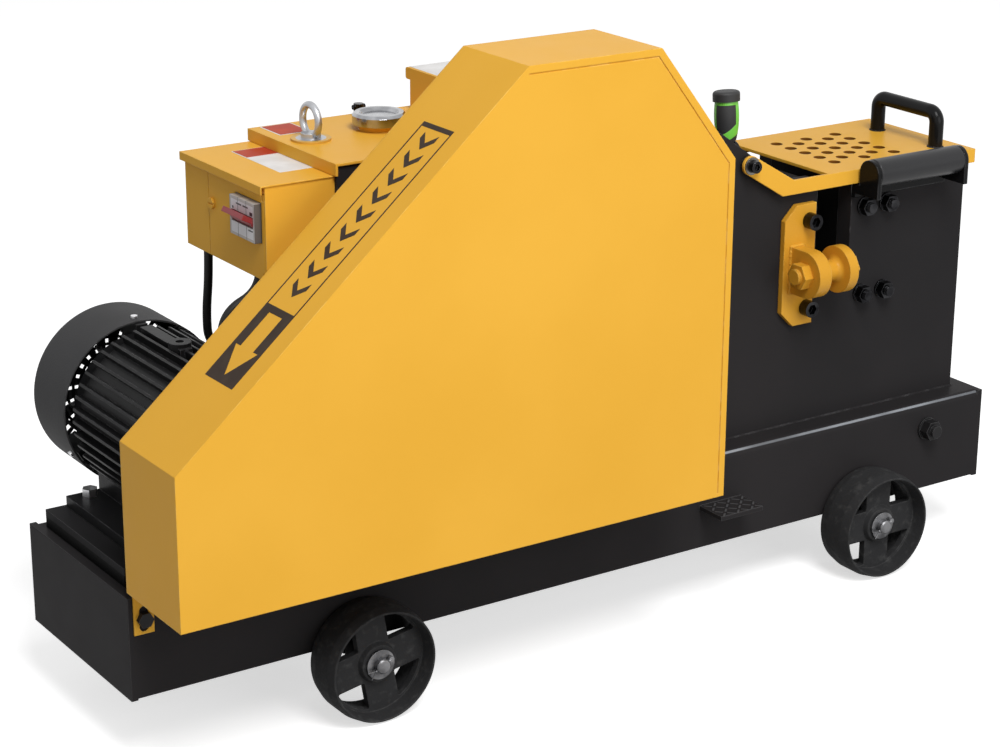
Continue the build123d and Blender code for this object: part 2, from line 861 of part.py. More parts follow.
vent_r = cowl_r - cowl_round
slot_out = vent_r - vent_rows * vent_pitch
with BuildPart() as fan_cowl:
    along_y(motor_x, motor_z, cowl_r, cowl_y, cowl_end_y)
    fillet(fan_cowl.edges().filter_by(GeomType.CIRCLE).sort_by(Axis.Y)[-1], cowl_round)
    along_y(motor_x, motor_z, cowl_r - cowl_t, cowl_y, cowl_end_y - cowl_round, Mode.SUBTRACT)
    along_y(
        motor_x, motor_z, cowl_r - cowl_round,
        cowl_end_y - cowl_round, cowl_end_y - cowl_t, Mode.SUBTRACT,
    )
    with BuildSketch(upright(cowl_end_y)):
        with Locations((motor_x, motor_z)):
            for row in range(vent_rows):
                row_r = vent_r - vent_hole[0] / 2 - row * vent_pitch
                with PolarLocations(row_r, round(2 * pi * row_r / vent_pitch)):
                    Rectangle(*vent_hole)
            with PolarLocations((slot_out + motor_shaft_r) / 2, vent_count):
                SlotOverall(slot_out - motor_shaft_r, vent_w)
    extrude(amount=cowl_t, mode=Mode.SUBTRACT)
    for screw in cowl_screw_planes:
        with BuildSketch(screw):
            Circle(cowl_screw_r + loose_clear)
        extrude(amount=2 * cowl_t, both=True, mode=Mode.SUBTRACT)
save(fan_cowl, "fan_cowl")

# Terminal box on the side of the motor that faces the gear case
term_x = motor_x + motor_core_r
term_end_x = motor_x + motor_fin_r + term_depth
term_y = frame_end_y - term_from_tail - term_len
term_z = motor_z - term_drop
term_top = term_z + term_h
gland_spots = (
    (motor_x + motor_fin_r + gland_r, term_y + term_len - 2 * gland_r),
    (motor_x + motor_fin_r + 3 * gland_r, term_y + 2 * gland_r),
)
with BuildPart() as terminal_box:
    block((term_x, term_end_x - term_cover_t), (term_y, term_y + term_len), (term_z, term_top))
    block(
        (term_end_x - term_cover_t, term_end_x),
        (term_y - term_cover_t / 2, term_y + term_len + term_cover_t / 2),
        (term_z - term_cover_t / 2, term_top),
    )
    for gland_x, gland_y in gland_spots:
        along_z(gland_x, gland_y, gland_r, term_top, term_top + gland_h)
    along_y(motor_x, motor_z, motor_fin_r + part_gap, frame_y, frame_end_y, Mode.SUBTRACT)
save(terminal_box, "terminal_box")


def grooved_rim(radius):
    """Outline from edge to edge of a rim with its belt grooves, as (radius, y) points."""
    points = [(radius, belt_y - pulley_half_w)]
    for index in range(belt_count):
        groove_y = belt_y + (index - (belt_count - 1) / 2) * belt_pitch
        points += [
            (radius, groove_y - groove_top_w / 2),
            (radius - groove_depth, groove_y - groove_foot_w / 2),
            (radius - groove_depth, groove_y + groove_foot_w / 2),
            (radius, groove_y + groove_top_w / 2),
        ]
    return points + [(radius, belt_y + pulley_half_w)]


# Pulleys and V-belts
with BuildPart() as motor_pulley:
    pulley_bore = motor_shaft_r + seat_clear
    pulley_pts = grooved_rim(motor_pulley_r)
    pulley_pts += [(pulley_bore, belt_y + pulley_half_w), (pulley_bore, belt_y - pulley_half_w)]
    with BuildSketch(Plane.XY.offset(motor_z)):
        Polygon(*[(motor_x + r, y) for r, y in pulley_pts], align=None)
    revolve(axis=Axis((motor_x, 0, motor_z), (0, 1, 0)))
save(motor_pulley, "motor_pulley")

with BuildPart() as flywheel:
    fly_bore = shaft_r + seat_clear
    fly_rim_in = flywheel_r - flywheel_rim_t
    hub_half = flywheel_hub_len / 2
    web_half = flywheel_web_t / 2
    fly_pts = grooved_rim(flywheel_r) + [
        (fly_rim_in, belt_y + pulley_half_w),
        (fly_rim_in, belt_y + web_half),
        (flywheel_hub_r, belt_y + web_half),
        (flywheel_hub_r, belt_y + hub_half),
        (fly_bore, belt_y + hub_half),
        (fly_bore, belt_y - hub_half),
        (flywheel_hub_r, belt_y - hub_half),
        (flywheel_hub_r, belt_y - web_half),
        (fly_rim_in, belt_y - web_half),
        (fly_rim_in, belt_y - pulley_half_w),
    ]
    with BuildSketch(Plane.XY.offset(fly_z)):
        Polygon(*[(fly_x + r, y) for r, y in fly_pts], align=None)
    revolve(axis=Axis((fly_x, 0, fly_z), (0, 1, 0)))
    with BuildSketch(upright(belt_y + web_half)):
        with Locations((fly_x, fly_z)):
            with PolarLocations((fly_rim_in + flywheel_hub_r) / 2, flywheel_holes):
                Circle(flywheel_hole_share * (fly_rim_in - flywheel_hub_r) / 2)
    extrude(amount=flywheel_web_t, mode=Mode.SUBTRACT)
save(flywheel, "flywheel")

belt_span = hypot(fly_x - motor_x, fly_z - motor_z)
belt_tilt = atan2(fly_z - motor_z, fly_x - motor_x)
belt_wrap = acos((motor_pulley_r - flywheel_r) / belt_span)


def on_belt(centre, radius, angle):
    """Point on a pulley's belt circle, in the X-Z plane."""
    return centre[0] + radius * cos(angle), centre[1] + radius * sin(angle)


def belt_loop():
    """Closed line of a belt at the pulleys' rims."""
    small, large = (motor_x, motor_z), (fly_x, fly_z)
    upper, lower = belt_tilt + belt_wrap, belt_tilt - belt_wrap
    Line(on_belt(small, motor_pulley_r, upper), on_belt(large, flywheel_r, upper))
    ThreePointArc(
        on_belt(large, flywheel_r, upper),
        on_belt(large, flywheel_r, belt_tilt),
        on_belt(large, flywheel_r, lower),
    )
    Line(on_belt(large, flywheel_r, lower), on_belt(small, motor_pulley_r, lower))
    ThreePointArc(
        on_belt(small, motor_pulley_r, lower),
        on_belt(small, motor_pulley_r, belt_tilt + pi),
        on_belt(small, motor_pulley_r, upper),
    )


flank_run = (groove_top_w - groove_foot_w) / 2 / groove_depth
belt_top_w = groove_top_w + 2 * flank_run * belt_proud - 2 * part_gap
belt_foot_w = belt_top_w - 2 * flank_run * belt_h
belt_out = belt_tilt + belt_wrap
belt_start = on_belt((motor_x, motor_z), motor_pulley_r, belt_out)
with BuildPart() as v_belts:
    for index in range(belt_count):
        groove_y = belt_y + (index - (belt_count - 1) / 2) * belt_pitch
        section = Plane(
            origin=(belt_start[0], groove_y, belt_start[1]),
            x_dir=(cos(belt_out), 0, sin(belt_out)),
            z_dir=(sin(belt_out), 0, -cos(belt_out)),
        )
        with BuildLine(upright(groove_y)) as loop:
            belt_loop()
        with BuildSketch(section):
            Polygon(
                (belt_proud, -belt_top_w / 2),
                (belt_proud, belt_top_w / 2),
                (belt_proud - belt_h, belt_foot_w / 2),
                (belt_proud - belt_h, -belt_foot_w / 2),
                align=None,
            )
        sweep(path=loop.wires()[0])
save(v_belts, "v_belts")


def tooth(module, count):
    """Outline of a gear tooth that points along local x."""
    pitch_r = module * count / 2
    tip_r = pitch_r + tooth_add * module
    sunk_r = pitch_r - (tooth_ded + tooth_add / 2) * module
    half_w = tooth_share * pi * module / 2
    lean = tan(radians(tooth_flank))
    foot_half = half_w + (pitch_r - sunk_r) * lean
    tip_half = half_w - (tip_r - pitch_r) * lean
    return (sunk_r, -foot_half), (tip_r, -tip_half), (tip_r, tip_half), (sunk_r, foot_half)


def toothed_disc(x, z, module, count, start):
    """Gear outline in the sketch at hand; start is the angle of its first tooth."""
    with Locations((x, z)):
        Circle(module * (count / 2 - tooth_ded))
        with PolarLocations(0, count, start_angle=start):
            Polygon(*tooth(module, count), align=None)


def gear_pocket(x, z, rim_r, hub_r):
    """Ring between a gear's rim and its hub in the sketch at hand."""
    with Locations((x, z)):
        Circle(rim_r)
        Circle(hub_r, mode=Mode.SUBTRACT)


# Gear train: flywheel shaft with its pinion, intermediate shaft with its pinion
with BuildPart() as pinion_shaft:
    shaft_front_y = belt_y - flywheel_hub_len / 2 - shaft_stub
    along_y(fly_x, fly_z, shaft_r, shaft_front_y, rear_y - part_gap)
    with BuildSketch(upright(first_face_y + first_face_w)):
        toothed_disc(fly_x, fly_z, first_module, first_pinion_teeth, first_mesh)
    extrude(amount=first_face_w)
save(pinion_shaft, "pinion_shaft")

with BuildPart() as intermediate_shaft:
    along_y(mid_x, mid_z, shaft_r, front_y + part_gap, rear_y - part_gap)
    with BuildSketch(upright(second_face_y + second_face_w)):
        toothed_disc(mid_x, mid_z, second_module, second_pinion_teeth, second_mesh)
    extrude(amount=second_face_w)
save(intermediate_shaft, "intermediate_shaft")

with BuildPart() as reduction_gear:
    first_start = first_mesh + 180 + 180 / first_gear_teeth
    first_rim_r = first_module * (first_gear_teeth / 2 - tooth_ded) - gear_rim_t
    first_pocket = (first_face_w - gear_web_t) / 2
    with BuildSketch(upright(first_face_y + first_face_w)):
        toothed_disc(mid_x, mid_z, first_module, first_gear_teeth, first_start)
    extrude(amount=first_face_w)
    for pocket_y in (first_face_y + first_face_w, first_face_y + first_pocket):
        with BuildSketch(upright(pocket_y)):
            gear_pocket(mid_x, mid_z, first_rim_r, shaft_r + gear_hub_wall)
        extrude(amount=first_pocket, mode=Mode.SUBTRACT)
    along_y(
        mid_x, mid_z, shaft_r + seat_clear,
        first_face_y, first_face_y + first_face_w, Mode.SUBTRACT,
    )
save(reduction_gear, "reduction_gear")

with BuildPart() as crank_gear:
    second_start = second_mesh + 180 + 180 / second_gear_teeth
    second_rim_r = second_module * (second_gear_teeth / 2 - tooth_ded) - gear_rim_t
    second_pocket = (second_face_w - gear_web_t) / 2
    with BuildSketch(upright(second_face_y + second_face_w)):
        toothed_disc(crank_x, crank_z, second_module, second_gear_teeth, second_start)
    extrude(amount=second_face_w)
    for pocket_y in (second_face_y + second_face_w, second_face_y + second_pocket):
        with BuildSketch(upright(pocket_y)):
            gear_pocket(crank_x, crank_z, second_rim_r, crank_shaft_r + gear_hub_wall)
        extrude(amount=second_pocket, mode=Mode.SUBTRACT)
    along_y(
        crank_x, crank_z, crank_shaft_r + run_clear,
        second_face_y, second_face_y + second_face_w, Mode.SUBTRACT,
    )
save(crank_gear, "crank_gear")

# Crankshaft with its eccentric, and the rod that pushes the ram
with BuildPart() as crankshaft:
    along_y(crank_x, crank_z, crank_shaft_r, front_y + part_gap, rear_y - part_gap)
    along_y(eccentric_x, crank_z, eccentric_r, mid_y - rod_w / 2, mid_y + rod_w / 2)
save(crankshaft, "crankshaft")

with BuildPart() as connecting_rod:
    with BuildSketch(upright(mid_y + rod_w / 2)):
        with Locations((eccentric_x, crank_z)):
            Circle(eccentric_r + rod_wall)
        with Locations(((eccentric_x + nose_x) / 2, crank_z)):
            Rectangle(nose_x - eccentric_x, rod_shank_h)
        with Locations((nose_x, crank_z)):
            Circle(rod_nose_r)
        with Locations((eccentric_x, crank_z)):
            Circle(eccentric_r + run_clear, mode=Mode.SUBTRACT)
    extrude(amount=rod_w)
save(connecting_rod, "connecting_rod")

# Bearings of the motor and of the three shafts, and the caps over them
shafts = ((fly_x, fly_z, shaft_r), (mid_x, mid_z, shaft_r), (crank_x, crank_z, crank_shaft_r))
motor_bearing_ys = (frame_y - motor_bearing_w, tail_y - motor_bearing_w)
with BuildPart() as bearings:
    for shaft_x, shaft_z, radius in shafts:
        for bush_y in (front_y, inner_rear_y):
            along_y(shaft_x, shaft_z, radius + bearing_wall, bush_y, bush_y + plate_t)
    for bearing_y in motor_bearing_ys:
        along_y(motor_x, motor_z, motor_bearing_r - seat_clear, bearing_y, bearing_y + motor_bearing_w)
    for shaft_x, shaft_z, radius in shafts:
        along_y(shaft_x, shaft_z, radius + run_clear, front_y, rear_y, Mode.SUBTRACT)
    along_y(
        motor_x, motor_z, motor_shaft_r + run_clear,
        frame_y - motor_bearing_w, tail_y, Mode.SUBTRACT,
    )
save(bearings, "bearings")

with BuildPart() as bearing_caps:
    for shaft_x, shaft_z, radius in shafts:
        cap_r = radius + bearing_wall + cap_lap
        along_y(shaft_x, shaft_z, cap_r, rear_y, rear_y + cap_t)
    for shaft_x, shaft_z, radius in shafts[1:]:
        along_y(shaft_x, shaft_z, radius + bearing_wall + cap_lap, front_y - cap_t, front_y)
    chamfer(bearing_caps.faces().sort_by(Axis.Y)[-1].edges(), cap_edge)
save(bearing_caps, "bearing_caps")

# Side plates of the gear case and the cutting head
body_outline = (
    (body_x, deck),
    (body_x, case_z),
    (body_x + slope_from, case_z),
    (body_x + slope_to, head_z),
    (slot_x, head_z),
    (slot_x, slot_z),
    (slot_end_x, slot_z),
    (slot_end_x, head_z),
    (body_end_x, head_z),
    (body_end_x, deck),
)
tie_spots = [
    (body_x + tie_from + column * tie_pitch_x, head_z - drop)
    for column in (0, 1)
    for drop in (tie_high, tie_low)
]
rest_x = body_x + rest_plate_from
rest_top = head_z - rest_plate_drop
rest_bottom = rest_top - rest_plate_h
rest_screw_x = rest_x + rest_plate_w - rest_screw_inset
rest_screw_zs = (rest_top - rest_screw_edge, rest_bottom + rest_screw_edge)


def side_plate(plate_y, screws):
    """One side plate; screws are the (x, z, radius) holes that only this side has."""
    with BuildPart() as plate:
        with BuildSketch(upright(plate_y + plate_t)) as profile:
            Polygon(*body_outline, align=None)
            foot_corners = profile.vertices().group_by(Axis.Y)[1]
            fillet(foot_corners, slot_corner)
            for shaft_x, shaft_z, radius in shafts:
                with Locations((shaft_x, shaft_z)):
                    Circle(radius + bearing_wall + seat_clear, mode=Mode.SUBTRACT)
            for tie_x, tie_z in tie_spots:
                with Locations((tie_x, tie_z)):
                    Circle(tie_r + loose_clear, mode=Mode.SUBTRACT)
            for screw_x, screw_z, radius in screws:
                with Locations((screw_x, screw_z)):
                    Circle(radius, mode=Mode.SUBTRACT)
        extrude(amount=plate_t)
    return plate


pivot_hole = (pivot_x, pivot_z, pivot_r + seat_clear)
rest_holes = [(rest_screw_x, screw_z, rest_screw_r + seat_clear) for screw_z in rest_screw_zs]
save(side_plate(front_y, [pivot_hole, *rest_holes]), "front_side_plate")
save(side_plate(inner_rear_y, [pivot_hole]), "back_side_plate")

eye_x = x0 + eye_from_end
eye_pos_y = y0 + eye_y
cover_z = case_z + cover_t
with BuildPart() as case_end_wall:
    block((body_x, body_x + wall_t), (inner_front_y, inner_rear_y), (deck, case_z))
    block(
        (body_x + wall_t, eye_x + lift_bar / 2),
        (inner_front_y, inner_rear_y),
        (case_z - lift_bar, case_z),
    )
    along_z(
        eye_x, eye_pos_y, eye_shank_r + seat_clear,
        case_z - eye_shank_len, case_z, Mode.SUBTRACT,
    )
save(case_end_wall, "case_end_wall")

# Guide of the ram, with the sloped plate that closes the case above it
slope_rate = (case_h - head_h) / (slope_to - slope_from)
slope_sink = slope_plate_t * sqrt(1 + slope_rate**2)
lever_y = mid_y + lever_shift
lever_z = deck + lever_up
slope_exit_x = body_x + slope_from + (case_z - lever_z) / slope_rate
lever_guide_x = slope_exit_x + lever_guide_out - lever_guide_len
ram_half = ram_h / 2
with BuildPart() as ram_guide:
    block(
        (guide_x, guide_end_x),
        (inner_front_y, inner_rear_y),
        (2 * crank_z - head_z, head_z),
    )
    with BuildSketch(upright(inner_rear_y)):
        Polygon(
            (body_x + slope_from, case_z),
            (body_x + slope_to, head_z),
            (body_x + slope_to, head_z - slope_sink),
            (body_x + slope_from, case_z - slope_sink),
            align=None,
        )
    extrude(amount=inner_rear_y - inner_front_y)
    along_x(lever_y, lever_z, lever_boss_r, lever_guide_x, slope_exit_x + lever_guide_out)
    along_x(
        lever_y, lever_z, lever_boss_r + loose_clear,
        slope_exit_x + lever_guide_out, body_x + slope_to, Mode.SUBTRACT,
    )
    along_x(
        lever_y, lever_z, lever_r + run_clear,
        lever_guide_x - lever_boss_r, slope_exit_x + lever_guide_out, Mode.SUBTRACT,
    )
    block(
        (guide_x, guide_end_x),
        (mid_y - ram_w / 2 - slide_clear, mid_y + ram_w / 2 + slide_clear),
        (crank_z - ram_half - slide_clear, crank_z + ram_half + slide_clear),
        Mode.SUBTRACT,
    )
save(ram_guide, "ram_guide")

with BuildPart() as head_block:
    block((slot_end_x, body_end_x), (inner_front_y, inner_rear_y), (deck, head_z))
    for tie_x, tie_z in tie_spots:
        along_y(tie_x, tie_z, tie_r + loose_clear, inner_front_y, inner_rear_y, Mode.SUBTRACT)
    block(
        (slot_end_x, slot_end_x + blade_seat),
        (mid_y + blade_pass / 2 - seat_clear, mid_y + blade_pass / 2 + blade_w + seat_clear),
        (crank_z - blade_h / 2 - seat_clear, crank_z + blade_h / 2 + seat_clear),
        Mode.SUBTRACT,
    )
save(head_block, "head_block")

# Ram and the two blades
with BuildPart() as ram:
    block(
        (ram_x, slot_x),
        (mid_y - ram_w / 2, mid_y + ram_w / 2),
        (crank_z - ram_half, crank_z + ram_half),
    )
    along_y(
        nose_x, crank_z, rod_nose_r + part_gap,
        mid_y - ram_w / 2, mid_y + ram_w / 2, Mode.SUBTRACT,
    )
    block(
        (slot_x - moving_seat, slot_x),
        (mid_y - blade_pass / 2 - blade_w - seat_clear, mid_y - blade_pass / 2 + seat_clear),
        (crank_z - blade_h / 2 - seat_clear, crank_z + blade_h / 2 + seat_clear),
        Mode.SUBTRACT,
    )
save(ram, "ram")

with BuildPart() as moving_blade:
    block(
        (slot_x - moving_seat, ram_edge_x),
        (mid_y - blade_pass / 2 - blade_w, mid_y - blade_pass / 2),
        (crank_z - blade_h / 2, crank_z + blade_h / 2),
    )
    bevel = moving_blade.edges().filter_by(Axis.Z).group_by(Axis.X)[-1].sort_by(Axis.Y)[0]
    chamfer(bevel, blade_bevel)
save(moving_blade, "moving_blade")

with BuildPart() as fixed_blade:
    block(
        (blade_edge_x, slot_end_x + blade_seat),
        (mid_y + blade_pass / 2, mid_y + blade_pass / 2 + blade_w),
        (crank_z - blade_h / 2, crank_z + blade_h / 2),
    )
    bevel = fixed_blade.edges().filter_by(Axis.Z).group_by(Axis.X)[0].sort_by(Axis.Y)[-1]
    chamfer(bevel, blade_bevel)
save(fixed_blade, "fixed_blade")

# Gear cover with its filler neck, hood and fittings
filler_x = x0 + filler_from_end
filler_pos_y = y0 + filler_y
plug_x = x0 + plug_from_end
plug_pos_y = y0 + plug_y
with BuildPart() as gear_cover:
    block(
        (body_x - cover_lap, body_x + slope_from),
        (front_y - cover_lap, rear_y + cover_back),
        (case_z, cover_z),
    )
    block(
        (body_x - cover_lap, body_x),
        (front_y - cover_lap, rear_y + cover_back),
        (cover_z - cover_flange, cover_z),
    )
    along_z(filler_x, filler_pos_y, filler_neck_r, cover_z, cover_z + filler_neck_h)
    along_z(
        filler_x, filler_pos_y, filler_neck_r - filler_wall,
        case_z, cover_z + filler_neck_h, Mode.SUBTRACT,
    )
    along_z(eye_x, eye_pos_y, eye_shank_r + loose_clear, case_z, cover_z, Mode.SUBTRACT)
save(gear_cover, "gear_cover")

hood_x = x0 + hood_from_end
hood_end_y = rear_y + hood_inset
hood_z = cover_z + hood_h
with BuildPart() as gear_hood:
    block((hood_x, hood_x + hood_len), (hood_end_y - hood_w, hood_end_y), (cover_z, hood_z))
    block(
        (hood_x + hood_t, hood_x + hood_len - hood_t),
        (hood_end_y - hood_w + hood_t, hood_end_y - hood_t),
        (cover_z, hood_z - hood_t),
        Mode.SUBTRACT,
    )
    block(
        (hood_x, hood_x + hood_len),
        (hood_end_y, hood_end_y + hood_lip),
        (hood_z - hood_lip_h, hood_z),
    )
    hem_edge = gear_hood.edges().filter_by(Axis.X).group_by(Axis.Y)[-1]
    fillet(hem_edge, hood_lip / 3)
save(gear_hood, "gear_hood")

with BuildPart() as eye_bolt:
    eye_z = cover_z + eye_ring_r + eye_wire_r
    with Locations((eye_x, eye_pos_y, eye_z)):
        Torus(eye_ring_r, eye_wire_r, rotation=(0, 90, 0))
    collar_z = cover_z + eye_washer_t + eye_collar_h
    along_z(eye_x, eye_pos_y, eye_collar_r, cover_z + eye_washer_t, collar_z)
    along_z(eye_x, eye_pos_y, eye_washer_r, cover_z, cover_z + eye_washer_t)
    along_z(eye_x, eye_pos_y, eye_shank_r, case_z - eye_shank_len, cover_z)
save(eye_bolt, "eye_bolt")

with BuildPart() as filler_cap:
    cap_foot = cover_z + filler_cap_lift
    cap_top = cap_foot + filler_cap_h
    cap_roof = cover_z + filler_neck_h + part_gap
    cap_pts = (
        (0, cap_top - filler_dish),
        (filler_dish_r, cap_top - filler_dish),
        (filler_dish_r + filler_dish, cap_top),
        (filler_cap_r - filler_wall, cap_top),
        (filler_cap_r, cap_top - filler_wall),
        (filler_cap_r, cap_foot),
        (filler_neck_r + part_gap, cap_foot),
        (filler_neck_r + part_gap, cap_roof),
        (0, cap_roof),
    )
    with BuildSketch(Plane.XZ.offset(-filler_pos_y)):
        Polygon(*[(filler_x + r, z) for r, z in cap_pts], align=None)
    revolve(axis=Axis((filler_x, filler_pos_y, 0), (0, 0, 1)))
save(filler_cap, "filler_cap")

with BuildPart() as oil_plug:
    along_z(plug_x, plug_pos_y, plug_r, cover_z, cover_z + plug_h)
    bar_z = cover_z + plug_bar_up
    along_x(plug_pos_y, bar_z, plug_bar_r, plug_x - plug_bar_len, plug_x + plug_bar_len)
save(oil_plug, "oil_plug")

# Electric box on the end wall, with its door, lock and breaker
box_x = body_x - box_depth
box_y = y0 + box_set
box_end_y = box_y + box_w
box_z = deck + box_lift
box_top = box_z + box_h
hinge_x = box_x + hinge_r
hinge_y = box_y + box_t + part_gap + hinge_r
door_h = box_h - box_lip_drop - door_gap
lug_spans = ((box_z, box_z + hinge_lug), (box_z + door_h - hinge_lug, box_z + door_h))
knuckle_z = (box_z + hinge_lug + part_gap, box_z + door_h - hinge_lug - part_gap)
breaker_x = box_x - breaker_proud
breaker_y = box_y + breaker_set
breaker_z = box_z + breaker_lift
breaker_half_w = pole_count * pole_w / 2
box_glands = (
    (box_x + gland_r + door_t, box_y + cable_set),
    (box_x + 2 * gland_r, box_end_y - gland_r - box_t),
)
with BuildPart() as electric_box:
    block((box_x, body_x), (box_y, box_end_y), (box_z, box_top))
    block(
        (box_x + box_t, body_x - box_t),
        (box_y + box_t, box_end_y - box_t),
        (box_z + box_t, box_top),
        Mode.SUBTRACT,
    )
    block(
        (box_x - box_lip, body_x),
        (box_y - box_t, box_end_y + box_t),
        (box_top, box_top + box_t),
    )
    block(
        (box_x - box_lip, box_x - box_lip + box_t),
        (box_y - box_t, box_end_y + box_t),
        (box_top - box_lip_drop, box_top),
    )
    block(
        (box_x, box_x + door_t + door_gap),
        (box_y + box_t, box_y + door_w + door_gap),
        (box_z, box_z + door_h + door_gap),
        Mode.SUBTRACT,
    )
    for lug_span in lug_spans:
        along_z(hinge_x, hinge_y, hinge_r, *lug_span)
        block((hinge_x, hinge_x + hinge_r), (box_y, hinge_y), lug_span)
    along_z(hinge_x, hinge_y, hinge_pin_r, box_z, box_z + door_h)
    block(
        (breaker_x + breaker_depth, body_x - box_t),
        (breaker_y - breaker_half_w, breaker_y + breaker_half_w),
        (breaker_z - rail_w / 2, breaker_z + rail_w / 2),
    )
save(electric_box, "electric_box")

lock_y = box_y + door_w - lock_r - lock_from_edge
lock_z = box_z + lock_h
window_half_w = breaker_half_w + door_gap + part_gap
window_half_h = breaker_face_h / 2 + door_gap
with BuildPart() as box_door:
    block((box_x, box_x + door_t), (hinge_y, box_y + door_w), (box_z, box_z + door_h))
    block(
        (box_x, box_x + door_t),
        (breaker_y - window_half_w, breaker_y + window_half_w),
        (breaker_z - window_half_h, breaker_z + window_half_h),
        Mode.SUBTRACT,
    )
    along_x(lock_y, lock_z, lock_r - lock_lip + run_clear, box_x, box_x + door_t, Mode.SUBTRACT)
    for low_z, high_z in lug_spans:
        block(
            (box_x, box_x + door_t),
            (hinge_y, hinge_y + hinge_r + part_gap),
            (low_z - part_gap, high_z + part_gap),
            Mode.SUBTRACT,
        )
    along_z(hinge_x, hinge_y, hinge_r, *knuckle_z)
    along_z(hinge_x, hinge_y, hinge_pin_r + run_clear, *knuckle_z, Mode.SUBTRACT)
save(box_door, "box_door")

with BuildPart() as door_lock:
    along_x(lock_y, lock_z, lock_r, box_x - part_gap - lock_proud, box_x - part_gap)
    along_x(lock_y, lock_z, lock_r - lock_lip, box_x - part_gap, box_x + door_t + part_gap)
    cam_x = box_x + door_t + part_gap
    along_x(lock_y, lock_z, lock_r, cam_x, cam_x + lock_cam_t)
    block(
        (box_x - part_gap - lock_proud, box_x - part_gap - lock_proud / 2),
        (lock_y - lock_r, lock_y + lock_r),
        (lock_z - lock_slot / 2, lock_z + lock_slot / 2),
        Mode.SUBTRACT,
    )
save(door_lock, "door_lock")

toggle_x = breaker_x + toggle_sink
trough_r = toggle_r + loose_clear
trough_half_w = breaker_half_w - trough_wall
with BuildPart() as breaker:
    block(
        (breaker_x, breaker_x + breaker_step),
        (breaker_y - breaker_half_w, breaker_y + breaker_half_w),
        (breaker_z - breaker_face_h / 2, breaker_z + breaker_face_h / 2),
    )
    block(
        (breaker_x + breaker_step, breaker_x + breaker_depth),
        (breaker_y - breaker_half_w, breaker_y + breaker_half_w),
        (breaker_z - breaker_h / 2, breaker_z + breaker_h / 2),
    )
    along_y(
        toggle_x, breaker_z, trough_r,
        breaker_y - trough_half_w, breaker_y + trough_half_w, Mode.SUBTRACT,
    )
    block(
        (breaker_x, toggle_x),
        (breaker_y - trough_half_w, breaker_y + trough_half_w),
        (breaker_z - trough_r, breaker_z + trough_r),
        Mode.SUBTRACT,
    )
save(breaker, "breaker")

with BuildPart() as breaker_toggle:
    toggle_half_w = trough_half_w - part_gap
    along_y(toggle_x, breaker_z, toggle_r, breaker_y - toggle_half_w, breaker_y + toggle_half_w)
    paddle = Plane(
        origin=(toggle_x, breaker_y, breaker_z),
        x_dir=(0, 1, 0),
        z_dir=(-cos(radians(toggle_tilt)), 0, sin(radians(toggle_tilt))),
    )
    with BuildSketch(paddle):
        with GridLocations(pole_w, toggle_w, pole_count, 1):
            Rectangle(toggle_w, toggle_t)
    extrude(amount=toggle_r + toggle_reach)
    with BuildSketch(paddle.offset(toggle_r + toggle_reach - toggle_bar)):
        Rectangle((pole_count - 1) * pole_w + toggle_w, toggle_t)
    extrude(amount=toggle_bar)
save(breaker_toggle, "breaker_toggle")

# Cables from the electric box to the terminal box
low_z = term_top + gland_h
run_z = motor_z + cable_run_up
slack_x = box_glands[0][0] - cable_slack
slack_z = box_z - cable_sag
cable_routes = (
    (
        (*box_glands[1], box_z),
        (box_glands[1][0], box_glands[1][1], run_z),
        (*gland_spots[0], run_z),
        (*gland_spots[0], low_z),
    ),
    (
        (*box_glands[0], box_z),
        (*box_glands[0], box_z - cable_bend / 2),
        (slack_x, box_glands[0][1], slack_z),
        (*gland_spots[1], run_z),
        (*gland_spots[1], low_z),
    ),
)
with BuildPart() as motor_cables:
    for route in cable_routes:
        with BuildLine() as run:
            FilletPolyline(*route, radius=cable_bend)
        with BuildSketch(Plane(origin=route[0], z_dir=(0, 0, -1))):
            Circle(cable_r)
        sweep(path=run.wires()[0])
    for gland_x, gland_y in box_glands:
        along_z(gland_x, gland_y, cable_r + grommet_t / 2, box_z - grommet_t, box_z)
save(motor_cables, "motor_cables")

# Clutch lever: shift shaft with its stop arm, leaning rod and grip
lever_x = slope_exit_x + lever_from_slope
stop_x = guide_x - stop_from_guide - lever_arm_t
lean = radians(lever_lean)
lever_line = Plane(
    origin=(lever_x, lever_y, lever_z),
    x_dir=(1, 0, 0),
    z_dir=(0, sin(lean), cos(lean)),
)
with BuildPart() as clutch_lever:
    along_x(lever_y, lever_z, lever_r, stop_x, lever_x + lever_boss_len / 2)
    along_x(
        lever_y, lever_z, lever_boss_r,
        slope_exit_x + lever_guide_out + part_gap, lever_x + lever_boss_len / 2,
    )
    block(
        (stop_x, stop_x + lever_arm_t),
        (lever_y - lever_r, lever_y + lever_r),
        (lever_z - lever_arm_len, lever_z),
    )
    with BuildSketch(lever_line):
        Circle(lever_rod_r)
    extrude(amount=grip_start + grip_len - grip_cap_h)
save(clutch_lever, "clutch_lever")

with BuildPart() as lever_grip:
    hand_len = grip_len - grip_cap_h
    for share, wide, thin in grip_form:
        with BuildSketch(lever_line.offset(grip_start + share * hand_len)):
            Ellipse(wide, thin)
    loft()
    with BuildSketch(lever_line.offset(grip_start + hand_len)):
        Ellipse(*grip_cap_form)
    extrude(amount=grip_cap_h)
    cap_face = lever_grip.faces().sort_by(Axis(lever_line.origin, lever_line.z_dir))[-1]
    fillet(cap_face.edges(), grip_cap_round)
    with BuildSketch(lever_line.offset(grip_start)):
        Circle(lever_rod_r + seat_clear)
    extrude(amount=hand_len + seat_clear, mode=Mode.SUBTRACT)
save(lever_grip, "lever_grip")

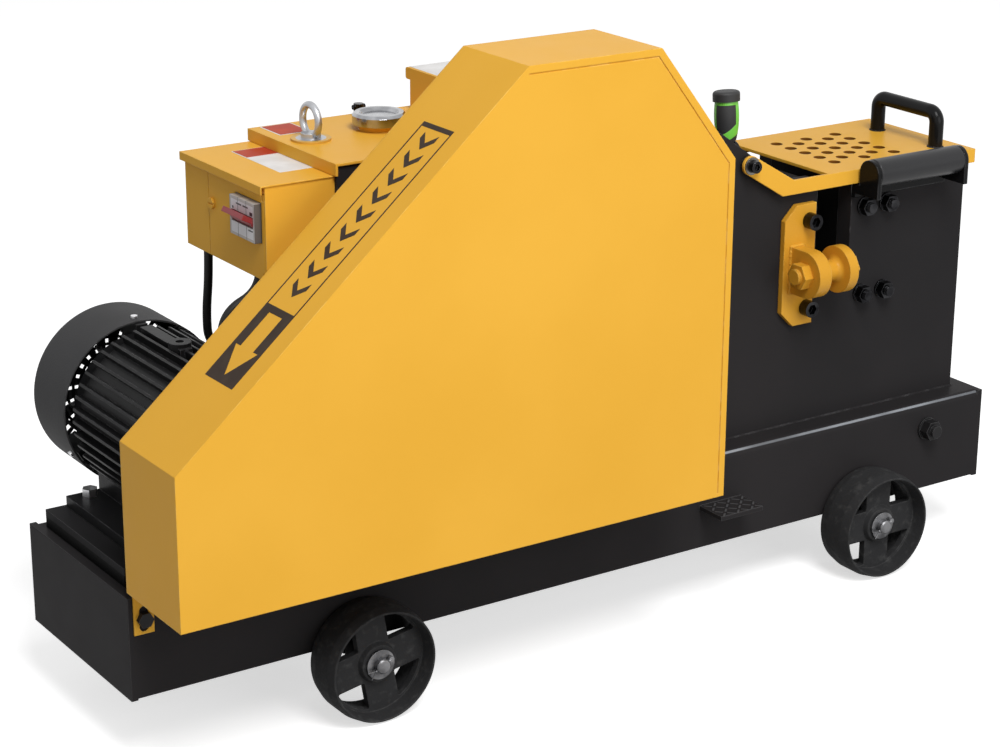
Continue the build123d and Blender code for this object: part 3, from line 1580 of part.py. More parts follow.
# Lid with its pivot arms, holes and rest bars
lid_x = body_x + lid_from
lid_end_x = body_end_x + lid_over
lid_under = lid_z - lid_flange_h
arm_x = body_x + lid_flange_from
arm_turn = atan2(pivot_z - lid_under, arm_x - pivot_x)
arm_side = (pivot_arm_r * sin(arm_turn), pivot_arm_r * cos(arm_turn))
lid_outline = (
    (arm_x, lid_under),
    (pivot_x - arm_side[0], pivot_z - arm_side[1]),
    (pivot_x + arm_side[0], pivot_z + arm_side[1]),
    (arm_x + lid_flange_slant, lid_z),
    (lid_end_x, lid_z),
    (lid_end_x, lid_under),
)
with BuildPart() as lid:
    block((lid_x, lid_end_x), (lid_front_y, lid_back_y), (lid_z - lid_t, lid_z))
    for flange_y in (lid_front_y, lid_back_y - lid_t):
        with BuildSketch(upright(flange_y + lid_t)):
            Polygon(*lid_outline, align=None)
            with Locations((pivot_x, pivot_z)):
                Circle(pivot_arm_r)
                Circle(pivot_r + run_clear, mode=Mode.SUBTRACT)
        extrude(amount=lid_t)
    hole_mid_x = body_x + hole_from + (hole_columns - 1) * hole_pitch_x / 2
    with Locations((hole_mid_x, mid_y, lid_z)):
        with GridLocations(2 * hole_pitch_x, hole_pitch_y, (hole_columns + 1) // 2, hole_rows):
            Cylinder(hole_dia / 2, 3 * lid_t, mode=Mode.SUBTRACT)
        with GridLocations(2 * hole_pitch_x, hole_pitch_y, hole_columns // 2, hole_rows - 1):
            Cylinder(hole_dia / 2, 3 * lid_t, mode=Mode.SUBTRACT)
    rest_bar_x = body_x + handle_from - lid_flange_h / 2
    for bar_y in (inner_front_y, inner_rear_y - lid_flange_h):
        block(
            (rest_bar_x, rest_bar_x + lid_flange_h),
            (bar_y, bar_y + lid_flange_h),
            (head_z + slide_clear, lid_z - lid_t),
        )
save(lid, "lid")

with BuildPart() as lid_handle:
    handle_x = body_x + handle_from
    handle_mid_y = mid_y - handle_shift
    handle_ys = (handle_mid_y - handle_span / 2, handle_mid_y + handle_span / 2)
    with BuildLine() as bar:
        FilletPolyline(
            (handle_x, handle_ys[0], lid_z),
            (handle_x, handle_ys[0], lid_z + handle_h),
            (handle_x, handle_ys[1], lid_z + handle_h),
            (handle_x, handle_ys[1], lid_z),
            radius=handle_bend,
        )
    with BuildSketch(Plane(origin=(handle_x, handle_ys[0], lid_z))):
        Circle(handle_r)
    sweep(path=bar.wires()[0])
save(lid_handle, "lid_handle")

with BuildPart() as lid_pivots:
    for side, plate_face, arm_face in ((-1, front_y, lid_front_y), (1, rear_y, lid_back_y)):
        steps = (
            (pivot_r, plate_face - side * wall_t, arm_face + side * part_gap),
            (pivot_collar_r, plate_face, arm_face - side * (lid_t + part_gap)),
            (pivot_washer_r, arm_face + side * part_gap, arm_face + side * (part_gap + pivot_washer_t)),
            (
                pivot_head_r,
                arm_face + side * (part_gap + pivot_washer_t),
                arm_face + side * (part_gap + pivot_washer_t + pivot_head_h),
            ),
        )
        for radius, y_one, y_two in steps:
            along_y(pivot_x, pivot_z, radius, min(y_one, y_two), max(y_one, y_two))
    end_faces = lid_pivots.faces().sort_by(Axis.Y)
    for head_y in (end_faces[0].center().Y, end_faces[-1].center().Y):
        with BuildSketch(upright(head_y)):
            with Locations((pivot_x, pivot_z)):
                RegularPolygon(pivot_socket / 2, 6, major_radius=False)
        extrude(amount=pivot_head_h / 2, both=True, mode=Mode.SUBTRACT)
save(lid_pivots, "lid_pivots")

# Roller in front of the lid, on its bracket
roller_y = front_y - roller_out
roller_z = head_z + roller_up
roller_x = body_x + roller_from
roller_end_x = roller_x + roller_len
bracket_top = lid_under - bracket_lid_gap
bracket_span = (roller_x - ear_t - part_gap, roller_end_x + ear_t + part_gap)
with BuildPart() as roller_bracket:
    block(bracket_span, (front_y - bracket_bar_t, front_y), (bracket_top - bracket_bar_h, bracket_top))
    for ear_x in (bracket_span[0], bracket_span[1] - ear_t):
        with BuildSketch(Plane.YZ.offset(ear_x)):
            with Locations((roller_y, roller_z)):
                Circle(ear_r)
            with Locations((roller_y, (roller_z + bracket_top - bracket_drop) / 2)):
                Rectangle(2 * ear_r, roller_z - bracket_top + bracket_drop)
            with Locations(((roller_y + front_y) / 2, bracket_top - bracket_drop / 2)):
                Rectangle(front_y - roller_y, bracket_drop)
        extrude(amount=ear_t)
    along_x(roller_y, roller_z, roller_pin_r, *bracket_span)
save(roller_bracket, "roller_bracket")

with BuildPart() as roller:
    along_x(roller_y, roller_z, roller_r, roller_x, roller_end_x)
    chamfer(roller.edges().filter_by(GeomType.CIRCLE), roller_edge)
    along_x(roller_y, roller_z, roller_pin_r + run_clear, roller_x, roller_end_x, Mode.SUBTRACT)
save(roller, "roller")

# Spool rest beside the slot
rest_y = front_y - rest_plate_t
spool_y = front_y - spool_out
spool_z = (rest_top + rest_bottom) / 2 - spool_drop
lug_x = body_x + lug_from
spool_x = lug_x + lug_plate_t + part_gap
spool_end_x = spool_x + spool_waist_len + spool_flange_t
with BuildPart() as spool_bracket:
    with BuildSketch(upright(front_y)):
        Polygon(
            (rest_x, rest_bottom + rest_plate_corner),
            (rest_x, rest_top - rest_plate_corner),
            (rest_x + rest_plate_corner, rest_top),
            (rest_x + rest_plate_w, rest_top),
            (rest_x + rest_plate_w, rest_bottom),
            (rest_x + rest_plate_corner, rest_bottom),
            align=None,
        )
        for screw_z in rest_screw_zs:
            with Locations((rest_screw_x, screw_z)):
                Circle(rest_screw_r + loose_clear, mode=Mode.SUBTRACT)
    extrude(amount=rest_plate_t)
    with BuildSketch(Plane.YZ.offset(lug_x)):
        with Locations((spool_y, spool_z)):
            Circle(spool_flange_r)
        with Locations(((spool_y + rest_y) / 2, spool_z)):
            Rectangle(rest_y - spool_y, 2 * spool_flange_r)
        with Locations((spool_y, spool_z)):
            Circle(spool_bolt_r + seat_clear, mode=Mode.SUBTRACT)
    extrude(amount=lug_plate_t)
save(spool_bracket, "spool_bracket")

with BuildPart() as spool:
    waist_end_x = spool_x + spool_waist_len
    along_x(spool_y, spool_z, spool_waist_r, spool_x, spool_end_x)
    along_x(spool_y, spool_z, spool_flange_r, waist_end_x, spool_end_x)
    waist_edge = spool.edges().filter_by(GeomType.CIRCLE).filter_by(lambda e: e.radius < spool_flange_r)
    fillet(waist_edge.sort_by(Axis.X)[-1], spool_waist_r / 2)
    along_x(spool_y, spool_z, spool_bolt_r + run_clear, spool_x, spool_end_x, Mode.SUBTRACT)
save(spool, "spool")

with BuildPart() as spool_bolt:
    bolt_head_x = spool_end_x + part_gap
    along_x(spool_y, spool_z, spool_bolt_r, lug_x - spool_nut_h - spool_stub, bolt_head_x)
    for hex_x in (lug_x - spool_nut_h, bolt_head_x):
        with BuildSketch(Plane.YZ.offset(hex_x)):
            with Locations((spool_y, spool_z)):
                RegularPolygon(spool_nut_af / 2, 6, major_radius=False)
        extrude(amount=spool_nut_h)
save(spool_bolt, "spool_bolt")

with BuildPart() as socket_screws:
    for screw_z in rest_screw_zs:
        along_y(rest_screw_x, screw_z, rest_screw_r, rest_y, front_y + wall_t)
        along_y(rest_screw_x, screw_z, rest_screw_head_r, rest_y - rest_screw_head_h, rest_y)
    with BuildSketch(upright(rest_y - rest_screw_head_h / 2)):
        for screw_z in rest_screw_zs:
            with Locations((rest_screw_x, screw_z)):
                RegularPolygon(rest_screw_socket / 2, 6, major_radius=False)
    extrude(amount=rest_screw_head_h / 2, mode=Mode.SUBTRACT)
save(socket_screws, "socket_screws")

# Tie bolts through the head
with BuildPart() as tie_bolts:
    nut_out = tie_washer_t + tie_nut_h
    for tie_x, tie_z in tie_spots:
        along_y(tie_x, tie_z, tie_r, front_y - nut_out - tie_stub, rear_y + nut_out + tie_stub)
        for washer_y in (front_y - tie_washer_t, rear_y):
            along_y(tie_x, tie_z, tie_washer_r, washer_y, washer_y + tie_washer_t)
        for nut_y in (front_y - tie_washer_t, rear_y + nut_out):
            with BuildSketch(upright(nut_y)):
                with Locations((tie_x, tie_z)):
                    RegularPolygon(tie_nut_af / 2, 6, major_radius=False)
            extrude(amount=tie_nut_h)
save(tie_bolts, "tie_bolts")

# Hex bolts of the motor feet, the guard tab and the base
with BuildPart() as hex_bolts:
    foot_top = slide_z + foot_t
    for side_x in (motor_x - foot_span / 2, motor_x + foot_span / 2):
        for side_y in (foot_y - foot_hole_pitch / 2, foot_y + foot_hole_pitch / 2):
            along_z(side_x, side_y, foot_bolt_r, slide_z - slide_t - foot_nut_h, foot_top)
            for nut_z in (foot_top, slide_z - slide_t - foot_nut_h):
                with BuildSketch(Plane.XY.offset(nut_z)):
                    with Locations((side_x, side_y)):
                        RegularPolygon(foot_nut_af / 2, 6, major_radius=False)
                extrude(amount=foot_nut_h)
    for screw in cowl_screw_planes:
        with BuildSketch(screw):
            Circle(cowl_screw_head_r)
        extrude(amount=cowl_screw_head_h)
        with BuildSketch(screw):
            Circle(cowl_screw_r)
        extrude(amount=-cowl_lug_t / 2)
    tab_x = x0 + tab_from_end + tab_w / 2
    tab_z = deck - tab_drop / 2
    tab_face = y0 - sheet_t
    hitch_x = -x0 - hitch_from_end
    hitch_z = z0 + hitch_up
    along_y(tab_x, tab_z, tab_bolt_r, tab_face, y0 + rail_t + tab_nut_h)
    hitch_end = y0 - hitch_washer_t - hitch_nut_h - hitch_stub
    along_y(hitch_x, hitch_z, hitch_r, hitch_end, y0 + rail_t + hitch_nut_h)
    along_y(hitch_x, hitch_z, hitch_washer_r, y0 - hitch_washer_t, y0)
    for bolt_x, bolt_z, nut_af, nut_h, nut_back in (
        (tab_x, tab_z, tab_nut_af, tab_nut_h, tab_face),
        (tab_x, tab_z, tab_nut_af, tab_nut_h, y0 + rail_t + tab_nut_h),
        (hitch_x, hitch_z, hitch_nut_af, hitch_nut_h, y0 - hitch_washer_t),
        (hitch_x, hitch_z, hitch_nut_af, hitch_nut_h, y0 + rail_t + hitch_nut_h),
    ):
        with BuildSketch(upright(nut_back)):
            with Locations((bolt_x, bolt_z)):
                RegularPolygon(nut_af / 2, 6, major_radius=False)
        extrude(amount=nut_h)
save(hex_bolts, "hex_bolts")
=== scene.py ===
# %% [markdown]
# # Dressing a rebar cutting machine
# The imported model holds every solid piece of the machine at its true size. This lesson gives those pieces
# their paint, bare metal and rubber, adds the prints, welds, threads and cables that are quicker to make in
# Blender, and sets a camera and a plain studio round them.

# %% Load the machine
import math

import bmesh
import bpy
from mathutils import Matrix, Vector


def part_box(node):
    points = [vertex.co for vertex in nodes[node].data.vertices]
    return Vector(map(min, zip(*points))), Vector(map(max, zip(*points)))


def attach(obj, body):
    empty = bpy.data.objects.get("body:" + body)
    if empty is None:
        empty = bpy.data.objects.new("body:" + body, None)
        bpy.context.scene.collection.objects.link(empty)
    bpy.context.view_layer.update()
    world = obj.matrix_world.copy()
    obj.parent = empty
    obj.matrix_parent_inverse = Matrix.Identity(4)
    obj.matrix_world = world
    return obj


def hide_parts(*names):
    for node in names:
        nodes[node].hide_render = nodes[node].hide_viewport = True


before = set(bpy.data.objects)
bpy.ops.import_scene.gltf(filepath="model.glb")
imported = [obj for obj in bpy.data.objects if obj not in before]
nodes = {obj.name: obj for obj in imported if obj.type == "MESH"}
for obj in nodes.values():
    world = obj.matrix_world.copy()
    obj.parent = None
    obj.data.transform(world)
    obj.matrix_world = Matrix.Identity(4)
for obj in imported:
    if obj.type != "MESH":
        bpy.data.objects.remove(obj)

scene = bpy.context.scene
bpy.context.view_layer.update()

# %% [markdown]
# ## Where the camera stands
# The machine is seen from its motor end, a little above, through a long lens. Turn, rise and roll are angles
# round the machine, and the spot is the lens itself, so the picture needs no shift.

# %% Camera
camera_turn = math.radians(-33.8066)
camera_rise = math.radians(18.8913)
camera_roll = math.radians(0.27089)
camera_spot = Vector((-1.66157, -2.36775, 1.30097))
camera_lens = 89.55
camera_sensor = 36.0

across = Vector((math.cos(camera_turn), math.sin(camera_turn), 0.0))
behind = Vector((
    math.sin(camera_turn) * math.cos(camera_rise),
    -math.cos(camera_turn) * math.cos(camera_rise),
    math.sin(camera_rise),
))
upward = behind.cross(across)
rolled_across = across * math.cos(camera_roll) + upward * math.sin(camera_roll)
rolled_upward = upward * math.cos(camera_roll) - across * math.sin(camera_roll)

camera_data = bpy.data.cameras.new("camera")
camera_data.sensor_width = camera_sensor
camera_data.lens = camera_lens
camera = bpy.data.objects.new("camera", camera_data)
scene.collection.objects.link(camera)
camera.matrix_world = Matrix((rolled_across, rolled_upward, behind)).transposed().to_4x4()
camera.location = camera_spot
scene.camera = camera
scene.view_settings.view_transform = "Standard"
print("camera looks along", tuple(round(-part, 3) for part in behind))

# %% [markdown]
# ## A few words for node trees
# Every finish, light path and repeat below is a tree of nodes. These short helpers add one node and wire its
# sockets in a single line, so that a finish reads like a recipe.

# %% Node helpers
def add(tree, kind, sockets=None, **settings):
    """Adds a node; a socket takes a number, a colour or another node's output."""
    made = tree.nodes.new(kind)
    for name, value in settings.items():
        setattr(made, name, value)
    for name, value in (sockets or {}).items():
        if isinstance(value, bpy.types.NodeSocket):
            tree.links.new(value, made.inputs[name])
        else:
            made.inputs[name].default_value = value
    return made


def maths(tree, operation, first, second=0.0):
    return add(tree, "ShaderNodeMath", {0: first, 1: second}, operation=operation).outputs[0]


def times(tree, first, *others):
    """The product of two or more values."""
    for other in others:
        first = maths(tree, "MULTIPLY", first, other)
    return first


def fade(tree, value, low, high):
    """0 below low, 1 above high, smooth between."""
    sockets = {"Value": value, "From Min": low, "From Max": high}
    return add(tree, "ShaderNodeMapRange", sockets, interpolation_type="SMOOTHSTEP").outputs[0]


def blend(tree, share, one, two):
    return add(tree, "ShaderNodeMix", {0: share, 6: one, 7: two}, data_type="RGBA").outputs[2]


def between(tree, share, low, high):
    """A number that runs from low to high as the share runs from 0 to 1."""
    sockets = {"Value": share, "To Min": low, "To Max": high}
    return add(tree, "ShaderNodeMapRange", sockets).outputs[0]


def place(tree):
    return add(tree, "ShaderNodeTexCoord").outputs["Object"]


def speckle(tree, scale, detail=3.0, stretch=(1.0, 1.0, 1.0)):
    """Noise on the piece's own coordinates, with so many lumps to the metre."""
    spot = add(tree, "ShaderNodeMapping", {"Vector": place(tree), "Scale": stretch}).outputs[0]
    return add(tree, "ShaderNodeTexNoise", {"Vector": spot, "Scale": scale, "Detail": detail}).outputs[0]


def axis(tree, letter):
    """One of the piece's own coordinates."""
    return add(tree, "ShaderNodeSeparateXYZ", {0: place(tree)}).outputs[letter]


def srgb(red, green, blue):
    """A colour as a paint chart gives it, turned into the light values that shaders use."""
    parts = [part / 255 for part in (red, green, blue)]
    light = [part / 12.92 if part <= 0.04045 else ((part + 0.055) / 1.055) ** 2.4 for part in parts]
    return (*light, 1.0)


print("white is", srgb(255, 255, 255))

# %% [markdown]
# ## A pale studio
# The machine stands on a plain white floor under two soft boxes: a strong one high in front, and a weak,
# larger one low in front. The motor end itself gets only the light of the room, so it is the shaded side, as
# in the photograph. Floor and room look white to the lens and in reflections, but throw less light than they
# show.

# %% Floor and room
room_light = 0.34
floor_seen, floor_bounce = 0.86, 0.50
glow_seen, glow_mirrored = 0.62, 0.45
floor_reach, floor_corners = 14.0, 96
pure_white = (1.0, 1.0, 1.0, 1.0)


def looks(tree):
    """1 for a ray straight from the lens or through glass, and 1 for a ray off a shiny surface."""
    rays = add(tree, "ShaderNodeLightPath").outputs
    return maths(tree, "MAXIMUM", rays["Is Camera Ray"], rays["Is Transmission Ray"]), rays["Is Glossy Ray"]


world = bpy.data.worlds.new("room")
scene.world = world
world.use_nodes = True
room = world.node_tree
room.nodes.clear()
level = between(room, maths(room, "MAXIMUM", *looks(room)), room_light, 1.0)
sky = add(room, "ShaderNodeBackground", {"Color": pure_white, "Strength": level})
add(room, "ShaderNodeOutputWorld", {"Surface": sky.outputs[0]})

floor_finish = bpy.data.materials.new("floor_white")
floor_finish.use_nodes = True
tree = floor_finish.node_tree
tree.nodes.clear()
straight, mirrored = looks(tree)
whiteness = between(tree, straight, floor_bounce, floor_seen)
grey = add(tree, "ShaderNodeCombineColor", {part: whiteness for part in (0, 1, 2)})
matt = add(tree, "ShaderNodeBsdfDiffuse", {"Color": grey.outputs[0]})
shown = times(tree, straight, glow_seen)
reflected = times(tree, mirrored, glow_mirrored)
shine = maths(tree, "MAXIMUM", shown, reflected)
glow = add(tree, "ShaderNodeEmission", {"Color": pure_white, "Strength": shine})
both = add(tree, "ShaderNodeAddShader", {0: matt.outputs[0], 1: glow.outputs[0]})
add(tree, "ShaderNodeOutputMaterial", {"Surface": both.outputs[0]})

floor_mesh = bpy.data.meshes.new("floor")
floor_form = bmesh.new()
bmesh.ops.create_circle(floor_form, cap_ends=True, segments=floor_corners, radius=floor_reach)
floor_form.to_mesh(floor_mesh)
floor_form.free()
floor_mesh.materials.append(floor_finish)
floor = bpy.data.objects.new("floor", floor_mesh)
scene.collection.objects.link(floor)
print("floor is", 2 * floor_reach, "m across")


# %% Soft boxes
def soft_box(name, spot, aim, size, watts):
    """A square lamp that faces its aim."""
    lamp = bpy.data.lights.new(name, "AREA")
    lamp.size = size
    lamp.energy = watts
    holder = bpy.data.objects.new(name, lamp)
    scene.collection.objects.link(holder)
    holder.location = spot
    holder.rotation_euler = (Vector(aim) - Vector(spot)).to_track_quat("-Z", "Y").to_euler()


machine_middle = (0.0, 0.0, 0.35)
soft_box("high_box", spot=(-0.7, -2.6, 3.9), aim=machine_middle, size=1.8, watts=136.0)
soft_box("low_box", spot=(0.9, -3.6, 1.3), aim=machine_middle, size=2.2, watts=37.0)

# %% [markdown]
# ## Enamel over steel
# Guard, covers and frame are sprayed with enamel. It is nearly one colour, but never quite: it clouds a
# little, has a fine orange peel, and turns to a lighter tone along its edges, partly as wear where edges
# are handled and partly as a painted highlight where rounded edges would catch the light. A Bevel node
# rounds the shading of sharp sheet edges and, compared with the true normal, also tells where an edge is.

# %% Enamel recipe
bevel_samples = 6
edge_from, edge_full = 0.02, 0.2


def new_finish(name):
    finish = bpy.data.materials.new(name)
    finish.use_nodes = True
    finish.node_tree.nodes.clear()
    return finish, finish.node_tree


def close(tree, **sockets):
    """Ends a finish in one surface shader; names use _ for the spaces in socket names."""
    named = {name.replace("_", " "): value for name, value in sockets.items()}
    shader = add(tree, "ShaderNodeBsdfPrincipled", named)
    add(tree, "ShaderNodeOutputMaterial", {"Surface": shader.outputs[0]})


def soft_edges(tree, radius):
    """A normal rounded at sharp edges, and a share that is 1 on those edges."""
    rounded = add(tree, "ShaderNodeBevel", {"Radius": radius}, samples=bevel_samples).outputs[0]
    true = add(tree, "ShaderNodeNewGeometry").outputs["Normal"]
    agree = add(tree, "ShaderNodeVectorMath", {0: rounded, 1: true}, operation="DOT_PRODUCT").outputs["Value"]
    return rounded, fade(tree, maths(tree, "SUBTRACT", 1.0, agree), edge_from, edge_full)


def bumped(tree, height, depth, normal):
    """The normal, tilted by a relief so many metres deep."""
    sockets = {"Strength": 1.0, "Distance": depth, "Height": height, "Normal": normal}
    return add(tree, "ShaderNodeBump", sockets).outputs[0]


def clouds(tree):
    return fade(tree, speckle(tree, 3.5, 4.0), 0.3, 0.7)


def orange_peel(tree):
    return speckle(tree, 420.0, 2.0)


def dulling(tree, rough):
    return between(tree, speckle(tree, 26.0, 5.0), *rough)


def enamel(
    name, deep, bright, edge,
    rough=(0.3, 0.42), edge_radius=0.0014, wear_and_highlight=0.6, peel=0.00006, gloss=0.45, painted_shade=None,
):
    """Sprayed paint whose edges turn lighter, partly as wear and partly as a painted highlight; the optional
    mask function, where given, is 1 where the colour turns dark brown as painted shade.
    """
    finish, tree = new_finish(name)
    normal, rim = soft_edges(tree, edge_radius)
    colour = blend(tree, clouds(tree), deep, bright)
    scuffs = fade(tree, speckle(tree, 70.0, 6.0), 0.42, 0.62)
    # lighter edges: partly wear, partly a painted highlight where the edges would catch the light
    colour = blend(tree, times(tree, rim, scuffs, wear_and_highlight), colour, edge)
    # painted shade: where the given mask is 1 the colour turns dark brown
    if painted_shade:
        colour = blend(tree, painted_shade(tree), colour, hole_shade_brown)
    close(
        tree, Base_Color=colour, Roughness=dulling(tree, rough), Specular_IOR_Level=gloss,
        Normal=bumped(tree, orange_peel(tree), peel, normal),
    )
    return finish


# painted shade colour for the walls of the lid's holes
hole_shade_brown = srgb(126, 80, 32)
# the third tone of each enamel is its edge tone, partly wear and partly painted highlight
yellow_tones = (srgb(233, 175, 60), srgb(239, 181, 66), srgb(252, 214, 122))
yellow_wear_and_highlight, yellow_gloss = 0.85, 0.05
yellow = enamel("yellow_enamel", *yellow_tones, wear_and_highlight=yellow_wear_and_highlight, gloss=yellow_gloss)
thick_yellow = enamel(
    "yellow_brushed_enamel", srgb(212, 153, 46), srgb(232, 177, 62), srgb(250, 208, 110),
    rough=(0.22, 0.42), edge_radius=0.002, peel=0.00024, gloss=0.15,
)
black_tones = (srgb(42, 41, 42), srgb(48, 46, 47), srgb(118, 118, 120))
black_rough, black_edge, black_gloss = (0.3, 0.46), 0.0022, 0.02
black = enamel(
    "black_enamel", *black_tones, rough=black_rough, edge_radius=black_edge, wear_and_highlight=0.6, gloss=black_gloss,
)
gloss_black = enamel(
    "black_gloss_enamel", srgb(17, 17, 18), srgb(24, 24, 25), srgb(104, 104, 107),
    rough=(0.12, 0.2), edge_radius=0.003, wear_and_highlight=0.35, gloss=0.12,
)
roller_black = enamel(
    "roller_enamel", srgb(22, 22, 24), srgb(30, 30, 32), srgb(104, 104, 107),
    rough=(0.3, 0.38), edge_radius=0.002, wear_and_highlight=0.35, gloss=0.4,
)
shade_black = enamel(
    "inner_enamel", srgb(15, 15, 15), srgb(21, 20, 21), srgb(92, 92, 94),
    rough=(0.4, 0.55), wear_and_highlight=0.4, gloss=0.02,
)
motor_black = enamel(
    "motor_enamel", srgb(22, 22, 23), srgb(31, 31, 32), srgb(124, 124, 127),
    rough=(0.3, 0.42), edge_radius=0.001, wear_and_highlight=0.75, peel=0.00012, gloss=0.1,
)
cowl_black = enamel(
    "cowl_enamel", srgb(61, 61, 62), srgb(69, 69, 70), srgb(118, 118, 120),
    rough=(0.46, 0.6), edge_radius=0.001, wear_and_highlight=0.6, peel=0.0002, gloss=0.06,
)
print("enamels ready")

# %% [markdown]
# ## Cast iron, bare metal and rubber
# The wheels are sand castings: lumpy, dusty and dull. Axles and bolts are zinc plated, the cap is polished,
# and the inner shafts and gears are turned steel with fine rings. One recipe makes all bare metals, by
# colour, dullness and how far its marks are stretched.

# %% Metals and rubber
def casting(name, deep, dusty, lump=0.0007):
    """Dull sand-cast iron with dust on its lumps and edges."""
    finish, tree = new_finish(name)
    sand = speckle(tree, 340.0, 6.0)
    lumps = speckle(tree, 90.0, 4.0)
    normal, rim = soft_edges(tree, 0.003)
    dust = fade(tree, maths(tree, "ADD", times(tree, rim, 0.25), lumps), 0.5, 0.85)
    colour = blend(tree, dust, deep, dusty)
    height = maths(tree, "ADD", times(tree, sand, 0.6), lumps)
    close(
        tree, Base_Color=colour, Roughness=between(tree, sand, 0.5, 0.85), Specular_IOR_Level=0.05,
        Normal=bumped(tree, height, lump, normal),
    )
    return finish


def bare_metal(name, dark, light, rough, stretch=(1.0, 1.0, 1.0), marks=0.00008, edge_radius=0.0008):
    """Stained metal; a stretch draws its fine marks out along an axis."""
    finish, tree = new_finish(name)
    stain = speckle(tree, 45.0, 5.0)
    lines = speckle(tree, 500.0, 3.0, stretch)
    normal, rim = soft_edges(tree, edge_radius)
    colour = blend(tree, fade(tree, stain, 0.3, 0.7), dark, light)
    colour = blend(tree, times(tree, rim, 0.35), colour, light)
    close(
        tree, Base_Color=colour, Metallic=1.0, Roughness=between(tree, stain, *rough),
        Normal=bumped(tree, lines, marks, normal),
    )
    return finish


def rubber_skin(name, deep, dusty, rough=(0.5, 0.68)):
    """Fine-grained rubber with patches of dust."""
    finish, tree = new_finish(name)
    grain = speckle(tree, 900.0, 3.0)
    dust = fade(tree, speckle(tree, 30.0, 5.0), 0.45, 0.8)
    normal, _ = soft_edges(tree, 0.0012)
    close(
        tree, Base_Color=blend(tree, dust, deep, dusty), Roughness=between(tree, grain, *rough),
        Specular_IOR_Level=0.35, Normal=bumped(tree, grain, 0.00008, normal),
    )
    return finish


wheel_iron = casting("wheel_casting", srgb(50, 50, 51), srgb(72, 72, 72))
grey_iron = casting("grey_casting", srgb(82, 83, 85), srgb(118, 118, 118), lump=0.0003)
axle_steel = bare_metal("axle_steel", srgb(78, 78, 80), srgb(134, 134, 136), (0.3, 0.5))
chrome = bare_metal("polished_cap", srgb(150, 151, 154), srgb(190, 191, 194), (0.08, 0.2), marks=0.00003)
turned = bare_metal("turned_steel", srgb(132, 133, 136), srgb(176, 177, 180), (0.25, 0.45), (1.0, 14.0, 1.0))
ground = bare_metal("ground_blade", srgb(118, 119, 124), srgb(160, 161, 166), (0.2, 0.34), (12.0, 1.0, 1.0))
bronze = bare_metal("bearing_bronze", srgb(150, 106, 52), srgb(190, 142, 78), (0.25, 0.4), (1.0, 14.0, 1.0))
blued = bare_metal("black_oxide", srgb(30, 30, 32), srgb(62, 62, 64), (0.16, 0.32))
cable_rubber = rubber_skin("cable_rubber", srgb(12, 12, 12), srgb(28, 28, 29))
belt_rubber = rubber_skin("belt_rubber", srgb(24, 24, 25), srgb(58, 57, 56))
print("metals and rubber ready")

# %% [markdown]
# ## Pieces with two finishes
# Some solids are one piece in the model but two materials on the machine. A share taken from the piece's own
# coordinates chooses between them: zinc nuts at the motor and painted ones elsewhere, plated washers under
# black pivot screws, and yellow on the outer ring of the lifting eye's washer, partly paint from the cover
# and partly a painted reflection of the yellow cover.

# %% Bolts, pivot screws and lifting eye
def within(tree, value, limits):
    """1 between the limits, 0 outside."""
    above = maths(tree, "GREATER_THAN", value, limits[0])
    return times(tree, above, maths(tree, "LESS_THAN", value, limits[1]))


def off_line(tree, letters, spot):
    """Squared distance from a line through the spot, measured along two of the piece's axes."""
    steps = [maths(tree, "SUBTRACT", axis(tree, letter), spot["XYZ".index(letter)]) for letter in letters]
    return maths(tree, "ADD", *[maths(tree, "POWER", step, 2.0) for step in steps])


def middle_of(name):
    """The middle of a node's box."""
    return [(low + high) / 2 for low, high in zip(*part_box(name))]


def two_metals(name, share_of, one, two, one_metal=1.0, two_metal=1.0, rough=(0.25, 0.45)):
    """share_of(tree) gives 0 for the first metal and 1 for the second."""
    finish, tree = new_finish(name)
    share = share_of(tree)
    stain = speckle(tree, 60.0, 5.0)
    normal, rim = soft_edges(tree, 0.0008)
    first = blend(tree, stain, one[0], one[1])
    second = blend(tree, stain, two[0], two[1])
    colour = blend(tree, share, first, second)
    colour = blend(tree, times(tree, rim, 0.3), colour, srgb(150, 150, 152))
    close(
        tree, Base_Color=colour, Metallic=between(tree, share, one_metal, two_metal),
        Roughness=between(tree, stain, *rough), Specular_IOR_Level=0.15,
        Normal=bumped(tree, speckle(tree, 500.0), 0.00006, normal),
    )
    return finish


motor_bolt_x = (-0.600, -0.300)


def near_motor(tree):
    """1 on the bolts of the motor's feet."""
    return within(tree, axis(tree, "X"), motor_bolt_x)


pivot_middle = middle_of("lid_pivots")
pivot_head = 0.0082


def washer_rim(tree):
    """1 outside the radius of the screw head round the lid's hinge line."""
    return maths(tree, "GREATER_THAN", off_line(tree, "XZ", pivot_middle), pivot_head**2)


eye_middle = middle_of("eye_bolt")
cover_top = 0.638
washer_thick = 0.0028
washer_bare = 0.0175


def washer_edge(tree):
    """1 on the outer part of the eye bolt's washer, yellow as paint from the cover and as a painted
    reflection of it.
    """
    outside = maths(tree, "GREATER_THAN", off_line(tree, "XY", eye_middle), washer_bare**2)
    low = maths(tree, "LESS_THAN", axis(tree, "Z"), cover_top + washer_thick)
    return times(tree, outside, low)


plated = (srgb(150, 152, 156), srgb(214, 215, 218))
bright_plate = (srgb(206, 207, 210), srgb(244, 244, 245))
dull_plate = (srgb(92, 90, 86), srgb(142, 139, 132))
overspray_and_reflection = (srgb(196, 150, 62), srgb(226, 178, 78))
oxide = (srgb(26, 26, 28), srgb(56, 56, 58))
painted_nut = (srgb(24, 24, 25), srgb(42, 41, 42))
base_bolts = two_metals("base_bolts", near_motor, painted_nut, bright_plate, one_metal=0.1)
pivot_steel = two_metals("pivot_screws", washer_rim, oxide, dull_plate)
# yellow outer ring of the washer: partly paint, partly a painted reflection of the cover
eye_steel = two_metals("eye_bolt", washer_edge, plated, overspray_and_reflection, two_metal=0.0)
print("bolts, pivot screws and lifting eye have two finishes each")
